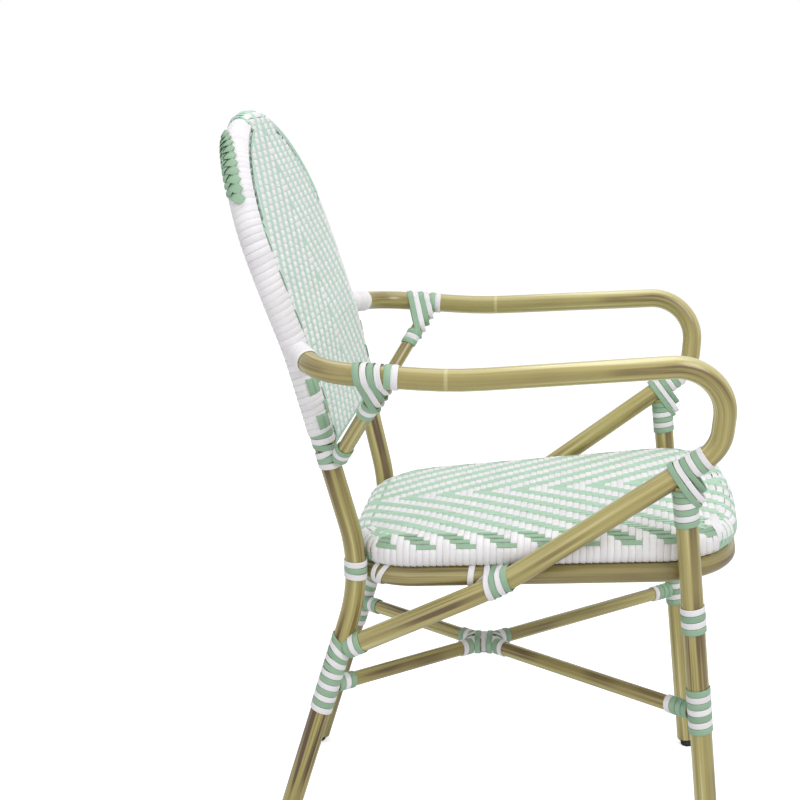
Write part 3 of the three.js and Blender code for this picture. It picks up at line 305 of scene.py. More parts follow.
def bent(corners: Sequence[tuple[Vector, float]]) -> list[Vector]:
    """Join straights by round bends, as a tube bender does.

    Args:
        corners: Corner points, each with its bend radius.

    Returns:
        The stations of the bent line.
    """
    points = [corners[0][0].copy()]
    for (before, _), (corner, radius), (after, _) in zip(corners, corners[1:], corners[2:]):
        into = (corner - before).normalized()
        out = (after - corner).normalized()
        turn = into.angle(out)
        start = corner - into * radius * math.tan(turn / 2.0)
        axis = into.cross(out).normalized()
        centre = start + axis.cross(into) * radius
        steps = max(2, math.ceil(turn / BEND_STEP))
        turns = [Matrix.Rotation(turn * i / steps, 3, axis) for i in range(steps + 1)]
        points += [centre + rotation @ (start - centre) for rotation in turns]
    points.append(corners[-1][0].copy())
    return points


# Meshes


@dataclass
class Skin:
    """A mesh being built from lofted shapes, with a grain coordinate at each vertex."""

    mesh: bmesh.types.BMesh = field(default_factory=bmesh.new)

    def __post_init__(self) -> None:
        """Give the mesh its grain layer."""
        self.grain = self.mesh.verts.layers.float_vector.new("grain")

    def loft(self, rings: Sequence[Ring], grains: Sequence[Ring], looped: bool = False) -> None:
        """Bend a grid round through rings of points and close its ends.

        Args:
            rings: Rings of points, all of one length.
            grains: The grain coordinate of each point.
            looped: Whether the last ring runs into the first.
        """
        sides = len(rings[0])
        rows = list(rings) + ([rings[0]] if looped else [])
        marks = list(grains) + ([grains[0]] if looped else [])
        grid = bmesh.ops.create_grid(self.mesh, x_segments=sides, y_segments=len(rows) - 1, size=1.0)
        made = grid["verts"]
        wide = sides + 1
        for n, vert in enumerate(made):
            row, column = divmod(n, wide)
            vert.co = rows[row][column % sides]
            vert[self.grain] = marks[row][column % sides]
        for row in range(len(rows)):
            made[row * wide + sides].co = made[row * wide].co
        bmesh.ops.remove_doubles(self.mesh, verts=made, dist=WELD)
        kept = [vert for vert in made if vert.is_valid]
        rims = {edge for vert in kept for edge in vert.link_edges if edge.is_boundary}
        if rims and not looped:
            bmesh.ops.holes_fill(self.mesh, edges=list(rims), sides=0)

    def tube(self, route: Route, start: float, end: float, radius: float, step: float = 0.03) -> None:
        """Lay a round tube along a route.

        Args:
            route: The line it follows.
            start: Distance at which it starts.
            end: Distance at which it ends.
            radius: Radius of the tube.
            step: Longest step between its rings.
        """
        rings, grains = [], []
        for distance in route.stops(start, end, step):
            point, _, normal, cross = route.at(distance)
            ring, marks = [], []
            for i in range(TUBE_SIDES):
                angle = 2.0 * math.pi * i / TUBE_SIDES
                ring.append(point + around(normal, cross, angle) * radius)
                marks.append(Vector((math.cos(angle) * radius, math.sin(angle) * radius, distance)))
            rings.append(ring)
            grains.append(marks)
        self.loft(rings, grains)

    def ribbon(
        self,
        line: Sequence[Vector],
        faces: Sequence[Vector],
        widths: Sequence[float],
        thickness: float,
        mark: float,
        looped: bool = False,
    ) -> None:
        """Lay a flat strand along points.

        Args:
            line: Points of its middle line.
            faces: Direction its flat side faces at each point.
            widths: Its width at each point.
            thickness: Its thickness.
            mark: A number of its own, for the material.
            looped: Whether its end meets its start.
        """
        rings, grains = [], []
        count = len(line)
        run = 0.0
        for i, (point, facing, width) in enumerate(zip(line, faces, widths)):
            before = line[i - 1] if i or looped else line[0]
            after = line[(i + 1) % count] if i < count - 1 or looped else line[-1]
            along = (after - before).normalized()
            across = along.cross(facing).normalized()
            out = across.cross(along)
            run += (point - line[i - 1]).length if i else 0.0
            rings.append([point + across * (a * width) + out * (b * thickness) for a, b in RIBBON_SHAPE])
            grains.append([Vector((a * width, mark, run)) for a, _ in RIBBON_SHAPE])
        self.loft(rings, grains, looped)

    def piece(self, name: str, finish: "Finish", *nodes: str, sharp: float = 40.0) -> bpy.types.Object:
        """Turn the mesh into a finished piece of the chair.

        Args:
            name: Name of the piece.
            finish: Its finish.
            nodes: CAD nodes that it stands for.
            sharp: Angle in degrees from which an edge stays sharp.

        Returns:
            The new object.
        """
        bmesh.ops.recalc_face_normals(self.mesh, faces=self.mesh.faces)
        for face in self.mesh.faces:
            face.smooth = True
        data = bpy.data.meshes.new(name)
        self.mesh.to_mesh(data)
        self.mesh.free()
        data.set_sharp_from_angle(angle=math.radians(sharp))
        data.materials.append(finish.material())
        obj = bpy.data.objects.new(name, data)
        bpy.context.scene.collection.objects.link(obj)
        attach(obj, "root")
        if nodes:
            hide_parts(*nodes)
        log.info("%s: %d faces", name, len(data.polygons))
        return obj


# Finishes


def feed(tree: Tree, value: object, socket: Socket) -> None:
    """Give a socket its value: a link from another socket, or a number or colour of its own.

    Args:
        tree: The tree that the socket is in.
        value: What it is given.
        socket: The socket.
    """
    if isinstance(value, bpy.types.NodeSocket):
        tree.links.new(value, socket)
    else:
        socket.default_value = value


def fill(tree: Tree, node: bpy.types.Node, **values: object) -> None:
    """Give inputs of a node their values, with underscores for the spaces of their names."""
    for label, value in values.items():
        feed(tree, value, node.inputs[label.replace("_", " ")])


class Effects:
    """Shader nodes, and the node groups that the finishes share, each built once."""

    @staticmethod
    def start(
        name: str, inputs: dict[str, float], outputs: Sequence[str]
    ) -> tuple[Tree, Sockets, list[Socket]]:
        """Make a group with a grain input, number inputs and number outputs.

        Args:
            name: Name of the group.
            inputs: Number inputs with their defaults.
            outputs: Names of its outputs.

        Returns:
            The group, the sockets of its inputs by name, and those of its outputs in order.
        """
        group = bpy.data.node_groups.new(name, "ShaderNodeTree")
        group.interface.new_socket("Grain", in_out="INPUT", socket_type="NodeSocketVector")
        for label, value in inputs.items():
            socket = group.interface.new_socket(label, in_out="INPUT", socket_type="NodeSocketFloat")
            socket.default_value = value
        for label in outputs:
            group.interface.new_socket(label, in_out="OUTPUT", socket_type="NodeSocketFloat")
        given = group.nodes.new("NodeGroupInput").outputs
        ends = group.nodes.new("NodeGroupOutput").inputs
        entry = {label: given[label] for label in ("Grain", *inputs)}
        return group, entry, [ends[label] for label in outputs]

    @staticmethod
    def math(tree: Tree, kind: str, *values: object) -> Socket:
        """Add a Math node.

        Args:
            tree: Where it goes.
            kind: Its operation.
            values: Sockets or numbers for its inputs.

        Returns:
            Its output.
        """
        node = tree.nodes.new("ShaderNodeMath")
        node.operation = kind
        for socket, value in zip(node.inputs, values):
            feed(tree, value, socket)
        return node.outputs[0]

    @classmethod
    def weigh(cls, tree: Tree, first: Socket, second: Socket, share: float) -> Socket:
        """Add two values, the first by a share and the second by the rest."""
        rest = cls.math(tree, "MULTIPLY", second, 1.0 - share)
        return cls.math(tree, "ADD", cls.math(tree, "MULTIPLY", first, share), rest)

    @classmethod
    def scaled(cls, tree: Tree, value: Socket, rate: float, base: float = 0.0) -> Socket:
        """Add a value, multiplied by a rate, to a base."""
        return cls.math(tree, "MULTIPLY_ADD", value, rate, base)

    @staticmethod
    def ramp(tree: Tree, value: Socket, low: float, high: float) -> Socket:
        """Spread a stretch of a value smoothly over 0 to 1.

        Args:
            tree: Where the node goes.
            value: The value.
            low: Where 0 is reached.
            high: Where 1 is reached.

        Returns:
            The spread value.
        """
        node = tree.nodes.new("ShaderNodeMapRange")
        node.interpolation_type = "SMOOTHSTEP"
        fill(tree, node, Value=value, From_Min=low, From_Max=high)
        return node.outputs["Result"]

    @staticmethod
    def noise(tree: Tree, vector: Socket, stretch: Triple, detail: float) -> Socket:
        """Add stretched noise.

        Args:
            tree: Where it goes.
            vector: Its coordinates.
            stretch: Scale along each axis.
            detail: Its detail.

        Returns:
            Its value.
        """
        scaled = tree.nodes.new("ShaderNodeVectorMath")
        scaled.operation = "MULTIPLY"
        feed(tree, vector, scaled.inputs[0])
        feed(tree, stretch, scaled.inputs[1])
        node = tree.nodes.new("ShaderNodeTexNoise")
        fill(tree, node, Scale=1.0, Detail=detail, Vector=scaled.outputs[0])
        return node.outputs["Fac"]

    @classmethod
    @cache
    def strand_fibres(cls) -> Tree:
        """Fine lengthwise lines and slight changes of shade of an extruded strand.

        Returns:
            The group.
        """
        outputs = ("Height", "Shade", "Polish")
        group, given, ends = cls.start("Strand fibres", {"Line depth": 0.5, "Variation": 0.5}, outputs)
        lines = cls.noise(group, given["Grain"], stretch=(2600.0, 9.0, 14.0), detail=2.0)
        broad = cls.noise(group, given["Grain"], stretch=(60.0, 37.0, 9.0), detail=1.0)
        centred = cls.math(group, "SUBTRACT", cls.weigh(group, lines, broad, share=0.45), 0.5)
        feed(group, cls.math(group, "MULTIPLY", lines, given["Line depth"]), ends[0])
        feed(group, cls.math(group, "MULTIPLY", centred, given["Variation"]), ends[1])
        feed(group, cls.scaled(group, broad, rate=0.2, base=0.42), ends[2])
        return group

    @classmethod
    @cache
    def lacquer_streaks(cls) -> Tree:
        """Long brushed streaks of a bamboo-look lacquer, with a faint joint.

        Returns:
            The group.
        """
        group, given, ends = cls.start("Lacquer streaks", {"Joint place": -1.0}, ("Dark", "Light", "Height"))
        grain = given["Grain"]
        broad = cls.noise(group, grain, stretch=(95.0, 95.0, 2.2), detail=2.0)
        fine = cls.noise(group, grain, stretch=(420.0, 420.0, 5.0), detail=3.0)
        blend = cls.weigh(group, broad, fine, share=0.7)
        light = cls.ramp(group, blend, low=0.47, high=0.34)
        patch = cls.noise(group, grain, stretch=(14.0, 14.0, 7.0), detail=1.0)
        patch = cls.scaled(group, cls.ramp(group, patch, low=0.4, high=0.62), rate=0.7, base=0.3)
        dark = cls.math(group, "MULTIPLY", cls.ramp(group, blend, low=0.45, high=0.61), patch)
        split = group.nodes.new("ShaderNodeSeparateXYZ")
        feed(group, grain, split.inputs[0])
        apart = cls.math(group, "SUBTRACT", split.outputs["Z"], given["Joint place"])
        joint = cls.ramp(group, cls.math(group, "ABSOLUTE", apart), low=0.003, high=0.001)
        joint = cls.scaled(group, joint, rate=0.4)
        feed(group, cls.math(group, "MULTIPLY", dark, cls.math(group, "SUBTRACT", 1.0, joint)), ends[0])
        feed(group, cls.math(group, "MAXIMUM", light, joint), ends[1])
        feed(group, cls.math(group, "ADD", fine, joint), ends[2])
        return group

    @classmethod
    @cache
    def moulded_speckle(cls) -> Tree:
        """A fine speckle with scuffs, for moulded or plated small parts.

        Returns:
            The group.
        """
        group, given, ends = cls.start("Moulded speckle", {}, ("Height", "Scuff"))
        feed(group, cls.noise(group, given["Grain"], stretch=(1800.0, 1800.0, 1800.0), detail=2.0), ends[0])
        broad = cls.noise(group, given["Grain"], stretch=(160.0, 160.0, 60.0), detail=3.0)
        feed(group, cls.ramp(group, broad, low=0.5, high=0.75), ends[1])
        return group


@dataclass(frozen=True)
class Finish:
    """What a finish has in common: a name and the record's slot."""

    name: str
    slot: str

    def material(self) -> bpy.types.Material:
        """The finish's material, built on first use.

        Returns:
            The material.
        """
        known = bpy.data.materials.get(self.name)
        if known:
            return known
        made = bpy.data.materials.new(self.name)
        made.use_nodes = True
        self.dress(made.node_tree)
        return made

    def dress(self, tree: Tree) -> None:
        """Fill the node tree; each finish has its own."""
        raise NotImplementedError

    @staticmethod
    def grain(tree: Tree) -> Socket:
        """The grain coordinate of the meshes.

        Args:
            tree: The material's tree.

        Returns:
            The coordinate's socket.
        """
        node = tree.nodes.new("ShaderNodeAttribute")
        node.attribute_name = "grain"
        return node.outputs["Vector"]

    @staticmethod
    def place(tree: Tree, group: Tree, grain: Socket, **values: float) -> bpy.types.Node:
        """Put a shared effect into a material.

        Args:
            tree: The material's tree.
            group: The effect.
            grain: Its coordinates.
            values: Values of its inputs, with underscores for spaces.

        Returns:
            The group node.
        """
        node = tree.nodes.new("ShaderNodeGroup")
        node.node_tree = group
        fill(tree, node, Grain=grain, **values)
        return node

    @staticmethod
    def mix(tree: Tree, share: Socket, first: object, second: object) -> Socket:
        """Mix two colours.

        Args:
            tree: Where the node goes.
            share: Socket that gives the share of the second.
            first: Colour or socket.
            second: Colour or socket.

        Returns:
            The mixed colour.
        """
        node = tree.nodes.new("ShaderNodeMix")
        node.data_type = "RGBA"
        feed(tree, share, node.inputs["Factor"])
        feed(tree, first, node.inputs[MIX_FIRST])
        feed(tree, second, node.inputs[MIX_SECOND])
        return node.outputs[MIX_RESULT]

    @staticmethod
    def bump(tree: Tree, height: Socket, strength: float, distance: float) -> None:
        """Let a height shape the surface's normal.

        Args:
            tree: The material's tree.
            height: Socket of the height.
            strength: Strength of the bump.
            distance: Its depth.
        """
        node = tree.nodes.new("ShaderNodeBump")
        fill(tree, node, Strength=strength, Distance=distance, Height=height)
        fill(tree, tree.nodes["Principled BSDF"], Normal=node.outputs["Normal"])


@dataclass(frozen=True)
class StrandFinish(Finish):
    """Flat extruded strand."""

    body: Quad
    shade: Quad

    def dress(self, tree: Tree) -> None:
        """Colour, fine lines and a satin shine.

        Args:
            tree: The material's tree.
        """
        effect = Effects.strand_fibres()
        fibres = self.place(tree, effect, self.grain(tree), Line_depth=1.0, Variation=1.0).outputs
        share = Effects.ramp(tree, Effects.math(tree, "ADD", fibres["Shade"], 0.5), low=0.35, high=0.75)
        colour = self.mix(tree, share, self.body, self.shade)
        fill(tree, tree.nodes["Principled BSDF"], Base_Color=colour, Roughness=fibres["Polish"])
        self.bump(tree, fibres["Height"], strength=0.25, distance=0.0004)


@dataclass(frozen=True)
class LacquerFinish(Finish):
    """Bamboo-look lacquer on metal tube."""

    body: Quad
    dark: Quad
    light: Quad
    streak: float = 1.0
    joint: float = -1.0

    def dress(self, tree: Tree) -> None:
        """Streaked colour under a clear gloss.

        Args:
            tree: The material's tree.
        """
        effect = Effects.lacquer_streaks()
        streaks = self.place(tree, effect, self.grain(tree), Joint_place=self.joint).outputs
        dark = Effects.math(tree, "MULTIPLY", streaks["Dark"], self.streak)
        colour = self.mix(tree, streaks["Light"], self.mix(tree, dark, self.body, self.dark), self.light)
        rough = Effects.scaled(tree, streaks["Dark"], rate=0.12, base=0.3)
        shader = tree.nodes["Principled BSDF"]
        fill(tree, shader, Base_Color=colour, Roughness=rough, Metallic=0.1)
        fill(tree, shader, Coat_Weight=0.55, Coat_Roughness=0.16)
        self.bump(tree, streaks["Height"], strength=0.12, distance=0.0005)


@dataclass(frozen=True)
class PlainFinish(Finish):
    """Moulded plastic or plated steel of the small parts."""

    body: Quad
    worn: Quad
    metal: float
    rough: float

    def dress(self, tree: Tree) -> None:
        """Colour with scuffs and a fine speckle, on object coordinates.

        Args:
            tree: The material's tree.
        """
        place = tree.nodes.new("ShaderNodeTexCoord").outputs["Object"]
        speckle = self.place(tree, Effects.moulded_speckle(), place).outputs
        colour = self.mix(tree, speckle["Scuff"], self.body, self.worn)
        rough = Effects.scaled(tree, speckle["Scuff"], rate=0.15, base=self.rough)
        fill(tree, tree.nodes["Principled BSDF"], Base_Color=colour, Roughness=rough, Metallic=self.metal)
        self.bump(tree, speckle["Height"], strength=0.15, distance=0.0003)


WHITE = StrandFinish("White strand", "strand_white", srgb(238, 236, 238), srgb(222, 219, 222))
# The darker green strand; on the seat's skirt it stands in as painted shade.
GREEN = StrandFinish("Green strand", "strand_green", srgb(150, 182, 154), srgb(132, 165, 137))
PALE_GREEN = StrandFinish("Pale green strand", "strand_green", srgb(182, 212, 190), srgb(164, 198, 174))
MIST_GREEN = StrandFinish("Light green strand", "strand_green", srgb(188, 217, 200), srgb(172, 205, 186))
BAMBOO = dict(slot="bamboo_lacquer", dark=srgb(86, 63, 34))
PLAIN_BAMBOO = dict(BAMBOO, body=srgb(168, 156, 90), light=srgb(202, 193, 138), streak=1.3)
PALE_BAMBOO = dict(BAMBOO, body=srgb(175, 163, 98), light=srgb(214, 206, 156), streak=0.9)
DARK_BAMBOO = dict(BAMBOO, body=srgb(150, 138, 84), light=srgb(180, 168, 112))
LACQUER = LacquerFinish("Bamboo lacquer", **PLAIN_BAMBOO)
PALE_LACQUER = LacquerFinish("Pale bamboo lacquer", **PALE_BAMBOO)
DARK_LACQUER = LacquerFinish("Dark bamboo lacquer", **DARK_BAMBOO)
JOINTED = {
    Side.RIGHT: LacquerFinish("Right arm lacquer", joint=0.223, **PALE_BAMBOO),
    Side.LEFT: LacquerFinish("Left arm lacquer", joint=0.251, **PALE_BAMBOO),
}
PLASTIC = PlainFinish("Black plastic", "glide_black", srgb(24, 24, 24), srgb(52, 52, 50), 0.0, 0.5)
ZINC = PlainFinish("Zinc plate", "screw_zinc", srgb(150, 152, 155), srgb(118, 119, 120), 0.9, 0.3)
STRANDS = {Tone.WHITE: WHITE, Tone.GREEN: GREEN}


# Frame


@dataclass
class Frame:
    """The tube frame: its sizes and the routes of its tubes."""

    shift: float = 0.0793605
    radius: float = 0.0127
    brace_radius: float = 0.009
    weld_gap: float = 0.0004
    glide_show: float = 0.011
    rear_foot: Spot = (0.153, 0.165)
    knee: Quad = (0.142, 0.057, 0.373, 0.23)
    back_turn: Quad = (0.1775, 0.1295, 0.653, 0.38)
    shoulder: Quad = (0.187, 0.157, 0.73, 0.38)
    spring_height: float = 0.758
    crown_height: float = 0.904
    crown_steps: int = 48
    rail_height: float = 0.538
    front_foot: Spot = (0.201, 0.3725)
    front_top: Triple = (0.217, 0.316, 0.518)
    arm_root: float = 0.652
    elbow: Quad = (0.2585, 0.086, 0.645, 0.062)
    rest: Quad = (0.2575, -0.058, 0.6385, 0.52)
    tip: Quad = (0.2355, -0.359, 0.661, 0.056)
    back_down: Triple = (-0.353, 0.562, 0.046)
    brace_turn: Triple = (-0.11, 0.382, 0.45)
    brace_foot: float = 0.27
    strut: Triple = (0.012, 0.513, 0.006)
    seat_height: float = 0.376
    seat_rise: float = 0.096
    ring_front: float = 0.383
    ring_bow: Spot = (0.013, 0.7)
    ring_corner: float = 0.075
    ring_flare: float = 0.093
    stretcher_heights: Spot = (0.24, 0.223)

    def __post_init__(self) -> None:
        """Draw the routes."""
        self.rear = self.rear_route()
        self.ring = self.ring_route()
        self.legs = {side: self.leg_route(side) for side in Side}
        self.arms = {side: self.arm_route(side) for side in Side}
        self.struts = {side: self.strut_route(side) for side in Side}
        self.rail = Route([self.rear_at(self.rail_height, side) for side in Side])
        rear, front = self.stretcher_end(Side.RIGHT, False), self.stretcher_end(Side.LEFT, True)
        self.whole = Route([rear, front])
        self.meet = rear.lerp(front, rear.x / (rear.x - front.x))
        self.halved = Route([self.stretcher_end(Side.RIGHT, True), self.stretcher_end(Side.LEFT, False)])

    def at(self, x: float, y: float, z: float) -> Vector:
        """A point of the drawing, moved to the chair's own origin."""
        return Vector((x, y + self.shift, z))

    def slope(self) -> float:
        """How far the back leans for each metre of height."""
        return (self.shoulder[1] - self.back_turn[1]) / (self.shoulder[2] - self.back_turn[2])

    def rear_route(self) -> Route:
        """One tube from foot to foot over the crown of the back.

        Returns:
            The tube's route.
        """
        lean = self.slope()
        x, y, z, _ = self.shoulder
        half = bent(
            [
                (self.at(*self.rear_foot, self.glide_show), 0.0),
                (self.at(*self.knee[:3]), self.knee[3]),
                (self.at(*self.back_turn[:3]), self.back_turn[3]),
                (self.at(x, y, z), self.shoulder[3]),
                (self.at(x, y + lean * (self.spring_height - z), self.spring_height), 0.0),
            ]
        )
        crown = []
        rise = self.crown_height - self.spring_height
        for i in range(1, self.crown_steps):
            angle = math.pi * i / self.crown_steps
            height = self.spring_height + rise * math.sin(angle)
            crown.append(self.at(x * math.cos(angle), y + lean * (height - z), height))
        mirror = [Vector((-p.x, p.y, p.z)) for p in reversed(half)]
        return Route(half + crown + mirror)

    def rear_distance(self, height: float, side: Side) -> float:
        """Distance along the rear tube at a height below the crown."""
        distance = self.rear.where(lambda p: p.z, height)
        return distance if side is Side.LEFT else self.rear.total - distance

    def rear_at(self, height: float, side: Side) -> Vector:
        """Point on the rear tube's axis at a height below the crown."""
        return self.rear.at(self.rear_distance(height, side))[0]

    def front_at(self, height: float, side: Side) -> Vector:
        """Point on a front leg's axis at a height.

        Args:
            height: Height above the ground.
            side: Which side of the chair.

        Returns:
            The point.
        """
        (x, y), (high_x, high_y, high) = self.front_foot, self.front_top
        share = height / high
        return self.at(side.value * (x + (high_x - x) * share), -(y + (high_y - y) * share), height)

    def seat_plane(self, y: float) -> float:
        """Height of the seat ring's plane at a depth of the chair's own frame."""
        return self.seat_height - self.seat_rise * (y - self.shift)

    def ring_side(self, y: float) -> float:
        """Half the spread of the seat ring's straight sides at a depth.

        Args:
            y: The depth.

        Returns:
            The half spread.
        """
        rate = (self.front_top[1] - self.front_foot[1]) / self.front_top[2]
        height = (self.seat_height + self.seat_rise * self.front_foot[1]) / (1.0 - self.seat_rise * rate)
        leg = self.front_at(height, Side.LEFT)
        return leg.x - 2.0 * self.radius - self.weld_gap - self.ring_flare * (y - leg.y)

    def ring_route(self) -> Route:
        """The bent ring under the seat, closed behind.

        Returns:
            The ring's route.
        """
        leg = self.rear_at(self.seat_plane(self.knee[1] + self.shift), Side.LEFT)
        back = leg.y
        apart = 2.0 * self.radius + self.weld_gap
        offset = leg.x - self.ring_side(back)
        slant = math.hypot(1.0, self.ring_flare) - self.ring_flare
        b = 2.0 * (offset * slant - apart)
        c = offset * offset - apart * apart
        bend = (-b + math.sqrt(b * b - 4.0 * slant * slant * c)) / (2.0 * slant * slant)
        bow, bow_bend = self.ring_bow
        corner = -self.ring_front + bow + self.shift
        front = -self.ring_front + self.shift

        def place(x: float, y: float) -> Vector:
            """Point of the ring's plane."""
            return Vector((x, y, self.seat_plane(y)))

        return Route(
            bent(
                [
                    (place(0.0, back), 0.0),
                    (place(self.ring_side(back), back), bend),
                    (place(self.ring_side(corner), corner), self.ring_corner),
                    (place(0.0, front), bow_bend),
                    (place(-self.ring_side(corner), corner), self.ring_corner),
                    (place(-self.ring_side(back), back), bend),
                    (place(0.0, back), 0.0),
                ]
            )
        )

    def brace_pass(self) -> float:
        """Depth at which the brace passes the seat ring's height.

        Returns:
            The depth.
        """
        rise = (self.back_down[1] - self.brace_turn[1]) / (self.brace_turn[0] - self.back_down[0])
        turn = self.brace_turn[0] + self.shift
        return turn - (self.seat_plane(turn) - self.brace_turn[1]) / rise

    def brace_place(self, y: float, height: float, side: Side) -> Vector:
        """Point of the brace, which clears the seat ring where the two pass.

        Args:
            y: Depth in the drawing.
            height: Height above the ground.
            side: Which side of the chair.

        Returns:
            The point.
        """
        passing = self.brace_pass()
        spread = self.ring_side(passing) + 2.0 * self.radius + 3.0 * self.weld_gap
        front = -self.front_top[1] + self.shift
        share = (passing - (y + self.shift)) / (passing - front)
        return Vector((side.value * (spread + (self.front_top[0] - spread) * share), y + self.shift, height))

    def arm_route(self, side: Side) -> Route:
        """The arm from the rim forward, round the hand rest and back down to the rear leg.

        Args:
            side: Which side of the chair.

        Returns:
            The arm's route.
        """

        def place(corner: Quad) -> tuple[Vector, float]:
            """Corner of the arm on this side, with its bend."""
            return self.at(side.value * corner[0], corner[1], corner[2]), corner[3]

        return Route(
            bent(
                [
                    (self.rear_at(self.arm_root, side), 0.0),
                    place(self.elbow),
                    place(self.rest),
                    place(self.tip),
                    (self.brace_place(self.back_down[0], self.back_down[1], side), self.back_down[2]),
                    (self.brace_place(self.brace_turn[0], self.brace_turn[1], side), self.brace_turn[2]),
                    (self.rear_at(self.brace_foot, side), 0.0),
                ]
            )
        )

    def arm_distance(self, side: Side, y: float) -> float:
        """Distance along an arm on its way forward at which it passes a depth."""
        return self.arms[side].where(lambda p: p.y, y)

    def brace_distance(self, side: Side, y: float) -> float:
        """Distance along an arm on its way back down at which it passes a depth.

        Args:
            side: Which side of the chair.
            y: The depth.

        Returns:
            The distance.
        """
        route = self.arms[side]
        front = min(range(len(route.points)), key=lambda i: route.points[i].y)
        return route.where(lambda p: p.y, y, front + 1)

    def strut_route(self, side: Side) -> Route:
        """The strut from under the arm in to the foot of the back.

        Args:
            side: Which side of the chair.

        Returns:
            The strut's route.
        """
        y, height, forward = self.strut
        top = self.arms[side].at(self.arm_distance(side, y + self.shift))[0]
        foot = self.rear_at(height, side)
        foot.y -= forward
        return Route([top, foot])

    def leg_route(self, side: Side) -> Route:
        """A front leg from its glide to the underside of the brace."""
        return Route([self.front_at(self.glide_show, side), self.front_at(self.front_top[2], side)])

    def stretcher_end(self, side: Side, front: bool) -> Vector:
        """Where a stretcher meets a leg."""
        ahead, behind = self.stretcher_heights
        return self.front_at(ahead, side) if front else self.rear_at(behind, side)

    def build(self) -> None:
        """Make every tube of the frame."""
        big, small = self.radius, self.brace_radius
        self.make("rear_frame", LACQUER, "rear_frame_tube", self.rear, big)
        self.make("seat_ring", DARK_LACQUER, "seat_ring_tube", self.ring, big)
        self.make("back_rail", LACQUER, "back_rail_tube", self.rail, small, (big, big))
        self.make("stretcher_long", LACQUER, "stretcher_whole", self.whole, small, (big, big))
        met = (self.meet - self.halved.points[0]).length
        beyond = self.halved.total - met
        ends = {"front": (big, beyond + small), "rear": (met + small, big)}
        for word, trim in ends.items():
            self.make(f"stretcher_{word}", LACQUER, f"stretcher_{word}_half", self.halved, small, trim)
        for side in Side:
            word = side.word
            self.make(f"arm_{word}", JOINTED[side], f"arm_tube_{word}", self.arms[side], big, (big, big))
            self.make(f"leg_front_{word}", PALE_LACQUER, f"front_leg_{word}", self.legs[side], big)
            self.make(f"strut_{word}", LACQUER, f"arm_strut_{word}", self.struts[side], small, (big, big))

    @staticmethod
    def make(
        name: str, finish: Finish, node: str, route: Route, radius: float, trim: Spot = (0.0, 0.0)
    ) -> None:
        """Make one tube.

        Args:
            name: Name of the piece.
            finish: Its finish.
            node: The CAD node that it stands for.
            route: Its route.
            radius: Its radius.
            trim: How far it stays back from the route's start and end.
        """
        skin = Skin()
        skin.tube(route, trim[0], route.total - trim[1], radius)
        skin.piece(name, finish, node)


# Windings


def section(route: Route, distance: float, radius: float) -> Section:
    """Point, direction and radius of a tube at a distance along its route."""
    point, run, _, _ = route.at(distance)
    return point, run, radius


